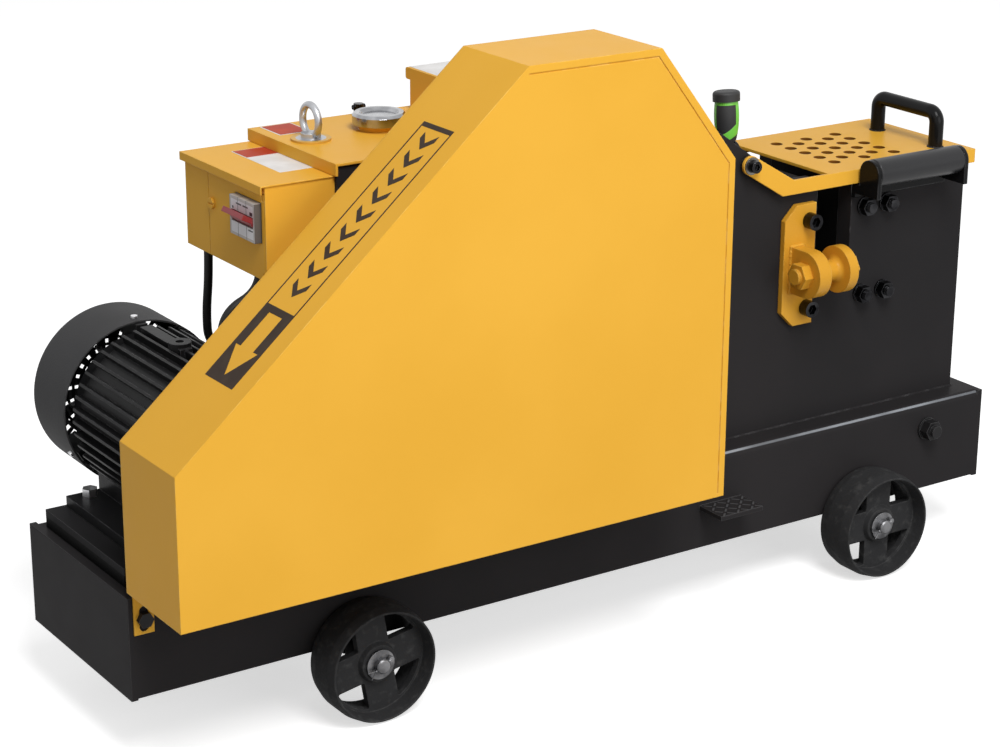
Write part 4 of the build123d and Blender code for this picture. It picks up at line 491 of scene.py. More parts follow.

# %% [markdown]
# ## The frame's rolled corners and its step
# The frame is rolled channel. Its upper corners carry a painted highlight, a light grey line where the
# rounded corner would catch the lamp, and the small step plate on the front rail has raised ribs that cross
# like a weave. Both are shallow enough for the finish to draw: the highlighted corners are found by the way
# their faces point, and the ribs by place, one on each square of a grid, turned in turn.

# %% Frame enamel
# painted highlight: faces that point this way are the rounded upper corners, coloured light grey
highlight_lean = Vector((0.0, 0.64, 0.77))
highlight_from, highlight_full = 0.97, 0.998
step_limits = {"X": (0.152, 0.218), "Y": (-0.1525, -0.1085), "Z": (0.1395, 0.1405)}
rib_pitch, rib_rise = 0.011, 0.0012
rib_side, rib_crest = 0.26, 0.1
rib_end, rib_full = 0.75, 0.6


def facing(tree):
    """The way that a face points, on the piece's own axes, and how far that way goes up."""
    own = add(tree, "ShaderNodeTexCoord").outputs["Normal"]
    return own, add(tree, "ShaderNodeSeparateXYZ", {0: own}).outputs["Z"]


def tread_ribs(tree):
    """Short ribs that cross from cell to cell on top of the step plate."""
    cells = [maths(tree, "DIVIDE", axis(tree, letter), rib_pitch) for letter in ("X", "Y")]
    across, along = [maths(tree, "SUBTRACT", maths(tree, "FRACT", cell), 0.5) for cell in cells]
    number = maths(tree, "ADD", *[maths(tree, "FLOOR", cell) for cell in cells])
    odd = maths(tree, "GREATER_THAN", maths(tree, "FRACT", times(tree, number, 0.5)), 0.25)
    one = maths(tree, "ABSOLUTE", maths(tree, "SUBTRACT", across, along))
    other = maths(tree, "ABSOLUTE", maths(tree, "ADD", across, along))
    thin = fade(tree, between(tree, odd, one, other), rib_side, rib_crest)
    short = fade(tree, between(tree, odd, other, one), rib_end, rib_full)
    on_step = [within(tree, axis(tree, letter), limits) for letter, limits in step_limits.items()]
    return times(tree, thin, short, *on_step)


def frame_enamel():
    """Black enamel with a painted highlight along the rolled upper corners of the channels, and ribs on the
    step.
    """
    finish, tree = new_finish("frame_enamel")
    normal, rim = soft_edges(tree, black_edge)
    own, rise = facing(tree)
    mirrored_way = add(tree, "ShaderNodeVectorMath", {0: own}, operation="ABSOLUTE").outputs[0]
    lean = add(tree, "ShaderNodeVectorMath", {0: mirrored_way, 1: highlight_lean}, operation="DOT_PRODUCT")
    corner = fade(tree, lean.outputs["Value"], highlight_from, highlight_full)
    corner = times(tree, corner, maths(tree, "GREATER_THAN", rise, 0.0))
    highlight_patches = between(tree, fade(tree, speckle(tree, 9.0, 5.0), 0.35, 0.6), 0.45, 0.95)
    ribs = tread_ribs(tree)
    deep, bright, edge = black_tones
    paint = blend(tree, clouds(tree), deep, bright)
    # lighter edges: partly wear, partly a painted highlight
    paint = blend(tree, times(tree, rim, 0.35), paint, edge)
    paint = blend(tree, times(tree, ribs, 0.7), paint, srgb(92, 92, 94))
    # painted highlight along the upper rolled corners, broken into patches
    paint = blend(tree, times(tree, corner, highlight_patches), paint, srgb(150, 154, 160))
    close(
        tree, Base_Color=paint, Roughness=dulling(tree, black_rough),
        Specular_IOR_Level=black_gloss, Normal=bumped(tree, ribs, rib_rise, normal),
    )
    return finish


frame_finish = frame_enamel()
print("step has ribs every", rib_pitch, "m")

# %% [markdown]
# ## The holes in the lid
# The lid is perforated, so the cut can be watched. The walls of the holes carry painted shade, a dark
# brown in place of the shadow inside them, so the holes look dark. They are the only upright faces inside the
# field, which is how the finish finds them without a second material on the sheet.

# %% Lid enamel
lid_low, lid_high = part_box("lid")
lid_border = 0.020
hole_field_x = (0.380, 0.540)
hole_field_y = (lid_low[1] + lid_border, lid_high[1] - lid_border)
upright_below = 0.3


def hole_walls(tree):
    """1 on the upright walls of the holes in the lid."""
    rise = facing(tree)[1]
    upright = maths(tree, "LESS_THAN", maths(tree, "ABSOLUTE", rise), upright_below)
    along, deep = within(tree, axis(tree, "X"), hole_field_x), within(tree, axis(tree, "Y"), hole_field_y)
    return times(tree, upright, along, deep)


# painted shade on the walls of the holes
lid_yellow = enamel("lid_enamel", *yellow_tones, wear_and_highlight=yellow_wear_and_highlight, gloss=yellow_gloss, painted_shade=hole_walls)
print("hole field is", round(hole_field_y[1] - hole_field_y[0], 3), "m deep")

# %% [markdown]
# ## The motor's slide
# The slide under the motor shows a clean top plate over sides painted near black as painted shade, in place
# of the shadow in the open channel below the plate. Height on the piece tells them apart, so the mesh needs
# no new faces.

# %% Slide enamel
slide_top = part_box("motor_slide")[1][2]
slide_lip, slide_fade = 0.008, 0.001


def slide_black_with_painted_shade():
    """Black enamel whose sides under the top plate are painted near black, as painted shade."""
    finish, tree = new_finish("slide_painted_shade_enamel")
    cloud = speckle(tree, 12.0, 4.0)
    normal, rim = soft_edges(tree, 0.0014)
    # painted shade: below the top plate the sides turn near black
    under = fade(tree, axis(tree, "Z"), slide_top - slide_lip, slide_top - slide_lip - slide_fade)
    paint = blend(tree, cloud, srgb(30, 30, 31), srgb(38, 37, 38))
    paint = blend(tree, times(tree, rim, 0.5), paint, srgb(112, 112, 114))
    close(
        tree, Base_Color=blend(tree, under, paint, srgb(9, 9, 9)), Roughness=between(tree, cloud, 0.4, 0.55),
        Specular_IOR_Level=0.03, Normal=bumped(tree, orange_peel(tree), 0.00006, normal),
    )
    return finish


slide_finish = slide_black_with_painted_shade()
print("slide turns dark below", round(slide_top - slide_lip, 4), "m")

# %% [markdown]
# ## The lever's hand grip
# A green grip with a black cap, a black collar whose edge runs aslant, and a soft black panel let into its
# front. Straight lines on the leaning grip bound all three, so sums of its own coordinates draw them.

# %% Hand grip
grip_foot = Vector((0.30514, 0.0500, 0.539))
grip_lean = math.radians(4.0)
grip_up = Vector((0.0, math.sin(grip_lean), math.cos(grip_lean)))
grip_front = Vector((0.0, -math.cos(grip_lean), math.sin(grip_lean)))
grip_green_from = 0.0205
grip_green_rise = 0.45
grip_cap_from = 0.067
panel_top = 0.0630
panel_foot = 0.0350
panel_rise = 0.75
panel_right = 0.0042
line_soft = 0.0004


def hand_grip():
    """Green plastic with a black cap, collar and panel let into it."""
    finish, tree = new_finish("hand_grip")
    spot = add(tree, "ShaderNodeVectorMath", {0: place(tree), 1: grip_foot}, operation="SUBTRACT").outputs[0]

    def along(direction):
        sockets = {0: spot, 1: direction}
        return add(tree, "ShaderNodeVectorMath", sockets, operation="DOT_PRODUCT").outputs["Value"]

    height = along(grip_up)
    side = along(Vector((1.0, 0.0, 0.0)))
    front = along(grip_front)

    def above(value, line):
        """1 above the line, 0 below it, with a narrow soft edge."""
        return fade(tree, maths(tree, "SUBTRACT", value, line), -line_soft, line_soft)

    cap = above(height, grip_cap_from)
    collar_line = maths(tree, "ADD", grip_green_from, times(tree, side, grip_green_rise))
    collar = above(collar_line, height)
    foot_line = maths(tree, "ADD", panel_foot, times(tree, side, panel_rise))
    upright = times(tree, above(height, foot_line), above(panel_top, height))
    in_front = times(tree, above(panel_right, side), above(front, 0.0))
    panel = times(tree, upright, in_front)
    dark = maths(tree, "MAXIMUM", maths(tree, "MAXIMUM", cap, collar), panel)
    grain = speckle(tree, 1100.0, 3.0)
    cloud = speckle(tree, 60.0, 3.0)
    green = blend(tree, cloud, srgb(112, 208, 66), srgb(134, 226, 86))
    soft = blend(tree, cloud, srgb(26, 26, 27), srgb(46, 46, 47))
    normal, _ = soft_edges(tree, 0.0012)
    let_in = times(tree, dark, 0.8)
    relief = maths(tree, "SUBTRACT", times(tree, grain, 0.15), let_in)
    close(
        tree, Base_Color=blend(tree, dark, green, soft), Roughness=between(tree, dark, 0.38, 0.6),
        Normal=bumped(tree, relief, 0.0006, normal),
    )
    return finish


grip_finish = hand_grip()
print("grip is green from", grip_green_from, "to", grip_cap_from, "m")

# %% [markdown]
# ## Breaker and toggles
# The breaker is a grey moulding of three poles with printed fields. Its print is drawn by shares of the width
# and height of its face, and the red toggles and the fan share one recipe for moulded plastic.

# %% Breaker and plastics
breaker_low, breaker_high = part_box("breaker")
pole_count = 3
pole_width = (breaker_high[1] - breaker_low[1]) / pole_count


def moulded(name, deep, bright, rough=(0.35, 0.5)):
    """Plastic that is a little paler at its edges."""
    finish, tree = new_finish(name)
    cloud = speckle(tree, 90.0, 4.0)
    normal, rim = soft_edges(tree, 0.0008)
    colour = blend(tree, cloud, deep, bright)
    colour = blend(tree, times(tree, rim, 0.25), colour, bright)
    close(
        tree, Base_Color=colour, Roughness=between(tree, cloud, *rough),
        Normal=bumped(tree, speckle(tree, 1300.0), 0.00004, normal),
    )
    return finish


face_high = 0.044
face_middle = middle_of("breaker")[2]
face_skin = 0.0008
# each field: from and to across the face, then from and to down the face
pale_fields = [((0.06, 0.94), (0.08, 0.36)), ((0.06, 0.94), (0.66, 0.93))]
dark_marks = [
    ((0.26, 0.48), (0.14, 0.18)), ((0.53, 0.74), (0.14, 0.18)),
    ((0.80, 0.92), (0.24, 0.33)), ((0.74, 0.92), (0.70, 0.74)), ((0.10, 0.16), (0.26, 0.33)),
]


def breaker_case():
    """Grey moulding with a joint line between its poles, pale printed fields and a few dark marks."""
    finish, tree = new_finish("breaker_case")
    cloud = speckle(tree, 110.0, 4.0)
    from_left = maths(tree, "SUBTRACT", breaker_high[1], axis(tree, "Y"))
    over = maths(tree, "DIVIDE", from_left, pole_width * pole_count)
    fall = maths(tree, "SUBTRACT", face_middle + face_high / 2, axis(tree, "Z"))
    down = maths(tree, "DIVIDE", fall, face_high)
    on_face = maths(tree, "LESS_THAN", axis(tree, "X"), breaker_low[0] + face_skin)

    def patches(limits):
        share = 0.0
        for across_limits, down_limits in limits:
            column, row = within(tree, over, across_limits), within(tree, down, down_limits)
            share = maths(tree, "MAXIMUM", share, times(tree, column, row))
        return times(tree, share, on_face)

    pole = maths(tree, "DIVIDE", maths(tree, "SUBTRACT", axis(tree, "Y"), breaker_low[1]), pole_width)
    line = fade(tree, maths(tree, "PINGPONG", pole, 0.5), 0.03, 0.015)
    normal, _ = soft_edges(tree, 0.0008)
    colour = blend(tree, cloud, srgb(178, 173, 169), srgb(204, 200, 196))
    colour = blend(tree, patches(pale_fields), colour, srgb(226, 226, 230))
    colour = blend(tree, patches(dark_marks), colour, srgb(52, 50, 56))
    colour = blend(tree, line, colour, srgb(96, 92, 90))
    close(
        tree, Base_Color=colour, Roughness=between(tree, cloud, 0.36, 0.5),
        Normal=bumped(tree, times(tree, line, -1.0), 0.0006, normal),
    )
    return finish


breaker_finish = breaker_case()
toggle_red = moulded("toggle_red", srgb(128, 34, 40), srgb(152, 48, 54))
fan_plastic = moulded("fan_plastic", srgb(30, 30, 32), srgb(44, 44, 46))
print("breaker has", pole_count, "poles of", round(pole_width, 4), "m")

# %% [markdown]
# ## Who wears what
# Each node of the model takes one finish. The list is in the order that a painter would mask the machine:
# yellow sheet first, then black frame, castings, plated and bare metal, and last the plastics and rubber.

# %% Dress the nodes
wardrobe = {
    yellow: [
        "belt_guard", "guard_back", "gear_cover", "gear_hood", "electric_box", "box_door", "door_lock",
    ],
    lid_yellow: ["lid"],
    thick_yellow: ["spool_bracket", "spool", "spool_bolt"],
    black: ["front_side_plate", "back_side_plate", "case_end_wall", "bearing_caps"],
    frame_finish: ["base_frame"],
    shade_black: ["head_block", "ram_guide"],
    slide_finish: ["motor_slide"],
    gloss_black: ["lid_handle", "roller_bracket", "clutch_lever"],
    roller_black: ["roller"],
    motor_black: ["motor_frame", "drive_end_shield", "terminal_box"],
    cowl_black: ["fan_cowl"],
    wheel_iron: ["wheel_front_left", "wheel_front_right", "wheel_back_left", "wheel_back_right"],
    grey_iron: ["motor_pulley", "flywheel", "connecting_rod"],
    axle_steel: ["axles", "axle_washers", "split_pins"],
    chrome: ["filler_cap"],
    turned: [
        "motor_rotor", "pinion_shaft", "intermediate_shaft", "reduction_gear", "crank_gear", "crankshaft",
        "ram",
    ],
    ground: ["moving_blade", "fixed_blade"],
    bronze: ["bearings"],
    blued: ["socket_screws", "tie_bolts", "oil_plug"],
    base_bolts: ["hex_bolts"],
    pivot_steel: ["lid_pivots"],
    eye_steel: ["eye_bolt"],
    grip_finish: ["lever_grip"],
    breaker_finish: ["breaker"],
    toggle_red: ["breaker_toggle"],
    fan_plastic: ["motor_fan"],
    cable_rubber: ["motor_cables"],
    belt_rubber: ["v_belts"],
}
for finish, names in wardrobe.items():
    for name in names:
        for slot in nodes[name].material_slots:
            slot.material = finish
undressed = set(nodes) - {name for names in wardrobe.values() for name in names}
print("dressed", len(nodes) - len(undressed), "nodes, left", sorted(undressed))

# %% [markdown]
# ## The arrow on the guard
# A printed band on the guard's long slope shows which way the drive turns: a dark field with an arrow left
# open in it, and a framed strip above. A flat curve with one outline inside another fills as a sheet with a
# hole, and a small extrusion gives it the thickness of a sticker.

# %% Sticker helpers
slope_foot = Vector((-0.630, 0.0, 0.385))
slope_head = Vector((-0.199, 0.0, 0.759))
film = 0.00012


def sticker_mesh(name, outlines):
    """A thin sheet of film in its own flat coordinates; an outline inside another is a hole."""
    curve = bpy.data.curves.new(name, "CURVE")
    curve.dimensions = "2D"
    curve.fill_mode = "BOTH"
    curve.extrude = film
    for outline in outlines:
        spline = curve.splines.new("POLY")
        spline.points.add(len(outline) - 1)
        for point, (along, side) in zip(spline.points, outline):
            point.co = (along, side, 0.0, 1.0)
        spline.use_cyclic_u = True
    holder = bpy.data.objects.new(name, curve)
    scene.collection.objects.link(holder)
    mesh = bpy.data.meshes.new_from_object(holder.evaluated_get(bpy.context.evaluated_depsgraph_get()))
    bpy.data.objects.remove(holder)
    return mesh


def keep(name, mesh, finish, body):
    """Makes a mesh a piece that rides on a body and wears the given finish."""
    mesh.name = name
    mesh.materials.clear()
    mesh.materials.append(finish)
    made = bpy.data.objects.new(name, mesh)
    scene.collection.objects.link(made)
    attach(made, body)
    return made


def box_outline(low, high):
    return [(low[0], low[1]), (high[0], low[1]), (high[0], high[1]), (low[0], high[1])]


def print_ink(name, ink, faded):
    """Printed film that has faded in patches."""
    finish, tree = new_finish(name)
    cloud = speckle(tree, 35.0, 5.0)
    grain = speckle(tree, 600.0, 2.0)
    normal, _ = soft_edges(tree, 0.0003)
    close(
        tree, Base_Color=blend(tree, fade(tree, cloud, 0.35, 0.75), ink, faded),
        Roughness=between(tree, cloud, 0.4, 0.55), Specular_IOR_Level=0.1,
        Normal=bumped(tree, grain, 0.00003, normal),
    )
    return finish


slope_run = (slope_head - slope_foot).normalized()
slope_out = slope_run.cross(Vector((0.0, 1.0, 0.0)))
slope_place = Matrix((slope_run, Vector((0.0, 1.0, 0.0)), slope_out)).transposed().to_4x4()
slope_place.translation = slope_foot + slope_out * film
ink_brown = print_ink("print_brown", srgb(54, 42, 34), srgb(68, 56, 46))
print("slope is", round((slope_head - slope_foot).length, 3), "m long")

# %% Arrow field and framed strip
field_from, field_to = 0.1085, 0.2070
strip_to = 0.4690
band_low, band_high = -0.2095, -0.1500
band_middle = (band_low + band_high) / 2
arrow_tip, arrow_neck, arrow_end = 0.1180, 0.1540, 0.2005
barb_half, shaft_half = 0.0235, 0.0138
frame_line, frame_end = 0.0020, 0.0060

arrow_outline = [
    (arrow_tip, band_middle),
    (arrow_neck, band_middle - barb_half),
    (arrow_neck, band_middle - shaft_half),
    (arrow_end, band_middle - shaft_half),
    (arrow_end, band_middle + shaft_half),
    (arrow_neck, band_middle + shaft_half),
    (arrow_neck, band_middle + barb_half),
]
arrow_field = sticker_mesh("arrow_field", [
    box_outline((field_from, band_low), (field_to, band_high)),
    arrow_outline,
])
arrow_field.transform(slope_place)
keep("arrow_field", arrow_field, ink_brown, "base")

inner_low = (field_to + frame_line, band_low + frame_line)
inner_high = (strip_to - frame_end, band_high - frame_line)
strip_frame = sticker_mesh("strip_frame", [
    box_outline((field_to, band_low), (strip_to, band_high)),
    box_outline(inner_low, inner_high),
])
strip_frame.transform(slope_place)
keep("strip_frame", strip_frame, ink_brown, "base")
print("arrow band is", round(strip_to - field_from, 4), "m long")

# %% [markdown]
# ## A row of chevrons
# Inside the framed strip a row of plain chevrons repeats the arrow's direction. A row is what Geometry Nodes
# do well: one chevron goes in, a line of points carries copies, and Realize Instances makes them real mesh.

# %% Chevron row
def node_group(name, inputs):
    """A geometry tree with a mesh in and out and named inputs; returns the tree and its input sockets."""
    group = bpy.data.node_groups.new(name, "GeometryNodeTree")
    face = group.interface
    face.new_socket("Geometry", in_out="INPUT", socket_type="NodeSocketGeometry")
    for label, kind in inputs.items():
        face.new_socket(label, in_out="INPUT", socket_type=kind)
    face.new_socket("Geometry", in_out="OUTPUT", socket_type="NodeSocketGeometry")
    return group, group.nodes.new("NodeGroupInput").outputs


def end_group(group, geometry):
    """Ends the tree as the export needs it: real mesh with a material."""
    real = add(group, "GeometryNodeRealizeInstances", {0: geometry}).outputs[0]
    source = next(node for node in group.nodes if node.bl_idname == "NodeGroupInput")
    coated = add(group, "GeometryNodeSetMaterial", {"Geometry": real, "Material": source.outputs["Finish"]})
    out = group.nodes.new("NodeGroupOutput")
    group.links.new(coated.outputs[0], out.inputs[0])


def run_group(group, mesh, values):
    """Runs the tree on a mesh and returns the plain mesh that it makes."""
    holder = bpy.data.objects.new(group.name, mesh)
    scene.collection.objects.link(holder)
    modifier = holder.modifiers.new(group.name, "NODES")
    modifier.node_group = group
    for item in group.interface.items_tree:
        if item.in_out == "INPUT" and item.name in values:
            modifier[item.identifier] = values[item.name]
    made = bpy.data.meshes.new_from_object(holder.evaluated_get(bpy.context.evaluated_depsgraph_get()))
    holder.modifiers.remove(modifier)
    bpy.data.objects.remove(holder)
    return made


row_tree, row_in = node_group("row_along", {
    "Count": "NodeSocketInt", "Step": "NodeSocketVector", "Finish": "NodeSocketMaterial",
})
row_points = add(row_tree, "GeometryNodeMeshLine", {"Count": row_in["Count"], "Offset": row_in["Step"]})
row_copies = add(row_tree, "GeometryNodeInstanceOnPoints", {
    "Points": row_points.outputs[0], "Instance": row_in["Geometry"],
})
end_group(row_tree, row_copies.outputs[0])

chevron_count = 9
chevron_step = 0.0262
chevron_first = 0.2260
chevron_half = 0.0140
chevron_lean = 0.0130
chevron_bar = 0.0090
chevron_barb = chevron_first + chevron_lean
chevron = sticker_mesh("chevron", [[
    (chevron_first, band_middle),
    (chevron_barb, band_middle - chevron_half),
    (chevron_barb + chevron_bar, band_middle - chevron_half),
    (chevron_first + chevron_bar, band_middle),
    (chevron_barb + chevron_bar, band_middle + chevron_half),
    (chevron_barb, band_middle + chevron_half),
]])
chevron_row = run_group(row_tree, chevron, {
    "Count": chevron_count, "Step": (chevron_step, 0.0, 0.0), "Finish": ink_brown,
})
chevron_row.transform(slope_place)
keep("chevron_row", chevron_row, ink_brown, "base")
print("chevrons", len(chevron_row.polygons), "faces")

# %% [markdown]
# ## Plain labels
# The box, the gear cover and the hood carry stickers: white film with a red band, red film with a white rim,
# and plain white film. A second film on the first makes a band or a rim without any cut-out.

# %% Labels on the covers
label_red = print_ink("label_red", srgb(176, 60, 36), srgb(194, 78, 50))
label_white = print_ink("label_white", srgb(226, 224, 222), srgb(240, 239, 238))
under_film, over_film = 1.0, 3.0


def label(name, low, high, top, finish, lift=under_film):
    """A rectangle of film that lies on a level surface, or on another film."""
    mesh = sticker_mesh(name, [box_outline(low, high)])
    mesh.transform(Matrix.Translation((0.0, 0.0, top + lift * film)))
    return keep(name, mesh, finish, "base")


box_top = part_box("electric_box")[1][2]
hood_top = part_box("gear_hood")[1][2]
label("box_label", (-0.3845, -0.0240), (-0.3390, 0.0905), box_top, label_white)
label("box_label_band", (-0.3830, 0.0555), (-0.3405, 0.0890), box_top, label_red, over_film)
label("cover_label", (-0.3290, 0.0760), (-0.2880, 0.1250), cover_top, label_white)
label("cover_label_band", (-0.3270, 0.0780), (-0.2900, 0.1230), cover_top, label_red, over_film)
label("hood_label", (-0.1270, 0.0550), (-0.0640, 0.1210), hood_top, label_white)
print("labels at heights", round(box_top, 3), cover_top, round(hood_top, 3))

# %% [markdown]
# ## Threads on the bolt ends
# Where a bolt stands out of its nut its thread shows. At this scale a stack of fine ridges reads as a thread,
# so a tree makes one ridge as a circle swept along a circle, stacks it, and sets the stack on every bolt end.

# %% Thread tree
thread_corners, ridge_corners = 32, 6
thread_tree, thread_in = node_group("thread_ends", {
    "Radius": "NodeSocketFloat", "Ridge": "NodeSocketFloat", "Pitch": "NodeSocketVector",
    "Turns": "NodeSocketInt", "Turn": "NodeSocketRotation", "Finish": "NodeSocketMaterial",
})
ring_path = add(thread_tree, "GeometryNodeCurvePrimitiveCircle", {
    "Resolution": thread_corners, "Radius": thread_in["Radius"],
})
ring_cut = add(thread_tree, "GeometryNodeCurvePrimitiveCircle", {
    "Resolution": ridge_corners, "Radius": thread_in["Ridge"],
})
ring = add(thread_tree, "GeometryNodeCurveToMesh", {0: ring_path.outputs[0], 1: ring_cut.outputs[0]})
stack_line = add(thread_tree, "GeometryNodeMeshLine", {
    "Count": thread_in["Turns"], "Offset": thread_in["Pitch"],
})
stack = add(thread_tree, "GeometryNodeInstanceOnPoints", {
    "Points": stack_line.outputs[0], "Instance": ring.outputs[0], "Rotation": thread_in["Turn"],
})
ends = add(thread_tree, "GeometryNodeInstanceOnPoints", {
    "Points": thread_in["Geometry"], "Instance": stack.outputs[0],
})
end_group(thread_tree, ends.outputs[0])

thread_pitch = 0.002
thread_ridge = 0.00045
along_x = ((thread_pitch, 0.0, 0.0), (0.0, math.radians(90.0), 0.0))
along_y = ((0.0, thread_pitch, 0.0), (math.radians(90.0), 0.0, 0.0))


def threads(name, spots, radius, way, turns, finish):
    """Ridges on the bolt ends that start at these spots and go one way."""
    mesh = bpy.data.meshes.new(name + "_spots")
    mesh.from_pydata(spots, [], [])
    pitch, turn = way
    made = run_group(thread_tree, mesh, {
        "Radius": radius, "Ridge": thread_ridge, "Pitch": pitch,
        "Turns": turns, "Turn": turn, "Finish": finish,
    })
    return keep(name, made, finish, "base")


print("thread pitch", thread_pitch, "m")

# %% Threads on tie bolts, base nut and spool bolt
stub_turns = 3
tie_low, tie_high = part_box("tie_bolts")
tie_radius = 0.0065
tie_washer = 0.012
tie_xs = (tie_low[0] + tie_washer, tie_high[0] - tie_washer)
tie_zs = (tie_low[2] + tie_washer, tie_high[2] - tie_washer)
tie_ys = (tie_low[1] + thread_pitch / 2, tie_high[1] - thread_pitch / 2 - (stub_turns - 1) * thread_pitch)
tie_spots = [(spot_x, spot_y, spot_z) for spot_x in tie_xs for spot_y in tie_ys for spot_z in tie_zs]
threads("tie_threads", tie_spots, tie_radius, along_y, stub_turns, blued)

hitch_x, hitch_z = 0.531, 0.168
hitch_radius = 0.008
hitch_spot = (hitch_x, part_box("hex_bolts")[0][1] + thread_pitch / 2, hitch_z)
threads("hitch_thread", [hitch_spot], hitch_radius, along_y, stub_turns, base_bolts)

spool_middle = middle_of("spool_bolt")
spool_radius, spool_turns = 0.010, 2
spool_spot = (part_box("spool_bolt")[0][0] + thread_pitch / 2, spool_middle[1], spool_middle[2])
threads("spool_thread", [spool_spot], spool_radius, along_x, spool_turns, thick_yellow)
print("threads on", len(tie_spots) + 2, "bolt ends")

# %% [markdown]
# ## Weld beads
# Brackets and handle are welded on and painted over. A bead is a row of overlapping drops along its seam,
# each a little different, so a tree walks along the seam, sets a drop on every step and varies it by a fixed
# seed.

# %% Bead tree
drop_least, drop_most = (0.85, 0.85, 0.8), (1.2, 1.2, 1.1)
drop_facets = 2
drop_spacing = 0.9
bead_tree, bead_in = node_group("weld_bead", {
    "Step": "NodeSocketFloat", "Drop": "NodeSocketFloat",
    "Seed": "NodeSocketInt", "Finish": "NodeSocketMaterial",
})
seam = add(bead_tree, "GeometryNodeMeshToCurve", {"Mesh": bead_in["Geometry"]})
steps = add(bead_tree, "GeometryNodeResampleCurve", {
    "Curve": seam.outputs[0], "Length": bead_in["Step"],
}, mode="LENGTH")
drop = add(bead_tree, "GeometryNodeMeshIcoSphere", {"Radius": bead_in["Drop"], "Subdivisions": drop_facets})
vary = add(bead_tree, "FunctionNodeRandomValue", {
    "Min": drop_least, "Max": drop_most, "Seed": bead_in["Seed"],
}, data_type="FLOAT_VECTOR")
drops = add(bead_tree, "GeometryNodeInstanceOnPoints", {
    "Points": steps.outputs[0], "Instance": drop.outputs[0], "Scale": vary.outputs[0],
})
end_group(bead_tree, drops.outputs[0])


def seam_mesh(name, routes):
    """Open polylines, one for each weld."""
    mesh = bpy.data.meshes.new(name)
    spots = [spot for route in routes for spot in route]
    edges = []
    start = 0
    for route in routes:
        edges += [(start + step, start + step + 1) for step in range(len(route) - 1)]
        start += len(route)
    mesh.from_pydata(spots, edges, [])
    return mesh


def weld(name, routes, drop_radius, finish, body, seed):
    """A painted bead along each route."""
    mesh = run_group(bead_tree, seam_mesh(name, routes), {
        "Step": drop_radius * drop_spacing, "Drop": drop_radius, "Seed": seed, "Finish": finish,
    })
    for polygon in mesh.polygons:
        polygon.use_smooth = True
    return keep(name, mesh, finish, body)


print("drops stand", drop_spacing, "of a radius apart")

# %% Welds of the spool bracket, handle and base
spool_drop, handle_drop, deck_drop = 0.0026, 0.0016, 0.0022
spool_seed, handle_seed, deck_seed = 3, 5, 7

lug_x, lug_thick, lug_half = 0.308, 0.019, 0.030
bracket_thick = 0.008
plate_low, plate_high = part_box("front_side_plate")
bracket_face = plate_low[1] - bracket_thick
lug_top, lug_foot = spool_middle[2] + lug_half, spool_middle[2] - lug_half
lug_route = [
    (lug_x + lug_thick, bracket_face, lug_top),
    (lug_x, bracket_face, lug_top),
    (lug_x, bracket_face, lug_foot),
    (lug_x + lug_thick, bracket_face, lug_foot),
]
weld("spool_weld", [lug_route], spool_drop, thick_yellow, "base", spool_seed)

handle_low, handle_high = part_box("lid_handle")
bar_radius = (handle_high[0] - handle_low[0]) / 2
foot_x = middle_of("lid_handle")[0]
foot_ys = (handle_low[1] + bar_radius, handle_high[1] - bar_radius)
ring_steps = 24


def foot_ring(middle_y):
    """The seam round one foot of the handle."""
    turns = [2 * math.pi * step / ring_steps for step in range(ring_steps + 1)]
    return [
        (foot_x + bar_radius * math.cos(turn), middle_y + bar_radius * math.sin(turn), handle_low[2])
        for turn in turns
    ]


foot_rings = [foot_ring(middle_y) for middle_y in foot_ys]
weld("handle_weld", foot_rings, handle_drop, black, "lid", handle_seed)

deck_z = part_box("base_frame")[1][2]
foot_lines = (plate_low[1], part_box("back_side_plate")[1][1])
deck_routes = [
    [(plate_low[0], foot_line, deck_z), (plate_high[0], foot_line, deck_z)] for foot_line in foot_lines
]
weld("deck_weld", deck_routes, deck_drop, black, "base", deck_seed)
print("welds made on", 1 + len(foot_ys) + len(deck_routes), "seams")

# %% [markdown]
# ## Rings behind the fan grille
# The slots of the fan cowl are crossed by wire rings on the inside, so that no finger reaches the fan. A ring
# is a closed path; one tree draws wire along every path. The rings are spot-welded to the cowl's end wall.

# %% Grille rings
wire_tree, wire_in = node_group("wire_along", {
    "Wire": "NodeSocketFloat", "Sides": "NodeSocketInt", "Finish": "NodeSocketMaterial",
})
wire_path = add(wire_tree, "GeometryNodeMeshToCurve", {"Mesh": wire_in["Geometry"]})
wire_cut = add(wire_tree, "GeometryNodeCurvePrimitiveCircle", {
    "Resolution": wire_in["Sides"], "Radius": wire_in["Wire"],
})
wire_run = add(wire_tree, "GeometryNodeCurveToMesh", {
    0: wire_path.outputs[0], 1: wire_cut.outputs[0], "Fill Caps": True,
})
end_group(wire_tree, wire_run.outputs[0])

cowl_middle = middle_of("fan_cowl")
cowl_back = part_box("fan_cowl")[1][1]
cowl_wall = 0.002
ring_wire = 0.0019
ring_first, ring_step, ring_count = 0.022, 0.0085, 6
ring_corners, wire_sides = 64, 10


def ring_paths(name, rings):
    """Closed paths; each ring has a middle, two half-diameter vectors and a number of corners."""
    spots, edges = [], []
    for middle, one, other, corners in rings:
        first = len(spots)
        turns = [2 * math.pi * corner / corners for corner in range(corners)]
        spots += [middle + one * math.cos(turn) + other * math.sin(turn) for turn in turns]
        edges += [(first + corner, first + (corner + 1) % corners) for corner in range(corners)]
    paths = bpy.data.meshes.new(name)
    paths.from_pydata(spots, edges, [])
    return paths


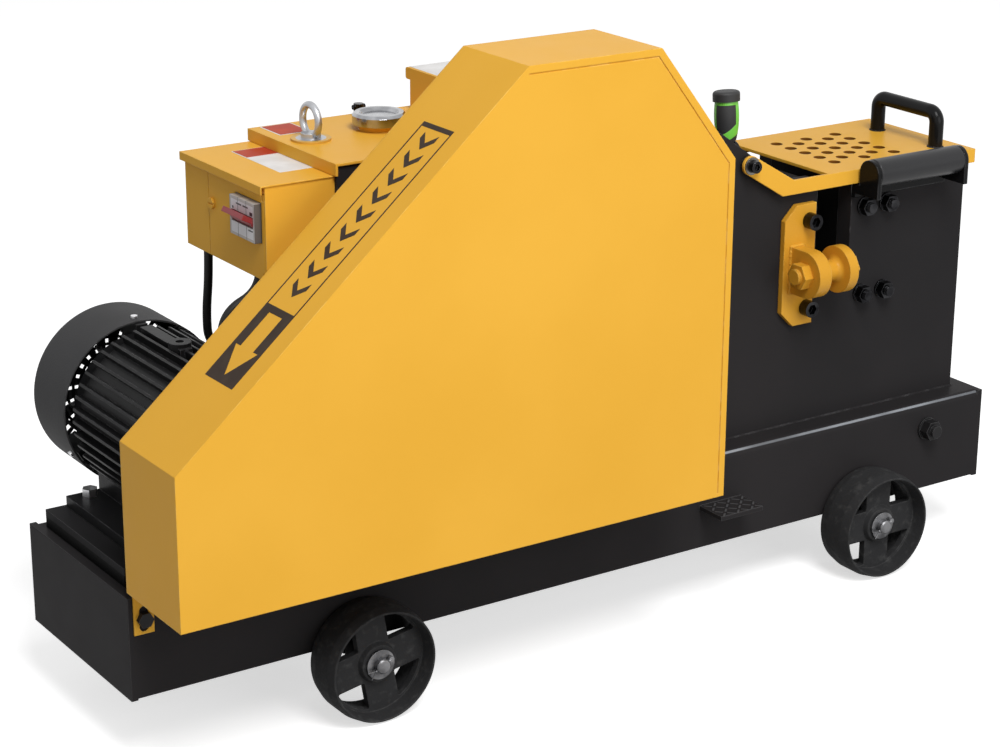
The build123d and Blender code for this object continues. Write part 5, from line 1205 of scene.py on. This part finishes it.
x_way, y_way, z_way = Vector((1.0, 0.0, 0.0)), Vector((0.0, 1.0, 0.0)), Vector((0.0, 0.0, 1.0))
ring_middle = Vector((cowl_middle[0], cowl_back - cowl_wall - ring_wire, cowl_middle[2]))
ring_radii = [ring_first + ring_number * ring_step for ring_number in range(ring_count)]
ring_mesh = ring_paths("grille_paths", [
    (ring_middle, x_way * radius, z_way * radius, ring_corners) for radius in ring_radii
])
grille_rings = run_group(wire_tree, ring_mesh, {
    "Wire": ring_wire, "Sides": wire_sides, "Finish": motor_black,
})
keep("grille_rings", grille_rings, motor_black, "base")
print("grille has", ring_count, "rings")

# %% [markdown]
# ## Cables from the electric box to the motor
# Two rubber cables leave the box through grommets and go into the glands of the motor's terminal box.
# Straight runs with bends would look like stiff wire, so each route only steers a NURBS line, and the wire
# tree draws a round cable along it.

# %% Motor cables
cable_width = 0.0104
cable_sides, line_steps = 24, 16
back_route = [
    (-0.407, 0.111, 0.515), (-0.407, 0.112, 0.476), (-0.4075, 0.121, 0.428),
    (-0.4035, 0.1255, 0.387), (-0.381, 0.0865, 0.377), (-0.376, 0.0755, 0.347),
]
front_route = [
    (-0.415, -0.0275, 0.515), (-0.417, -0.0275, 0.494), (-0.4595, -0.029, 0.478), (-0.4665, -0.026, 0.440),
    (-0.424, -0.003, 0.421), (-0.366, 0.0265, 0.398), (-0.356, 0.0315, 0.347),
]


def smooth_line(name, route):
    """A mesh of the points along the NURBS line that the route steers."""
    line = bpy.data.curves.new(name, "CURVE")
    line.dimensions = "3D"
    line.resolution_u = line_steps
    spline = line.splines.new("NURBS")
    spline.points.add(len(route) - 1)
    for point, spot in zip(spline.points, route):
        point.co = (*spot, 1.0)
    spline.order_u = 3
    spline.use_endpoint_u = True
    holder = bpy.data.objects.new(name, line)
    scene.collection.objects.link(holder)
    points = bpy.data.meshes.new_from_object(holder)
    bpy.data.objects.remove(holder)
    return points


def cable(name, route):
    """One cable along its route, with the points that it follows."""
    line = smooth_line(name + "_line", route)
    path = [tuple(vertex.co) for vertex in line.vertices]
    tube = run_group(wire_tree, line, {"Wire": cable_width / 2, "Sides": cable_sides, "Finish": cable_rubber})
    made = keep(name, tube, cable_rubber, "base")
    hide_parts("motor_cables")
    return made, path


back_cable, back_path = cable("back_cable", back_route)
front_cable, front_path = cable("front_cable", front_route)

grommet_wire, grommet_fit, grommet_corners = 0.0017, 0.0009, 28
grommet_radius = cable_width / 2 + grommet_fit
grommet_paths = ring_paths("grommet_paths", [
    (Vector(route[0]) - z_way * grommet_wire, x_way * grommet_radius, y_way * grommet_radius, grommet_corners)
    for route in (back_route, front_route)
])
cable_grommets = run_group(wire_tree, grommet_paths, {
    "Wire": grommet_wire, "Sides": wire_sides, "Finish": cable_rubber,
})
keep("cable_grommets", cable_grommets, cable_rubber, "base")
print("cables follow", len(back_path), "and", len(front_path), "points")
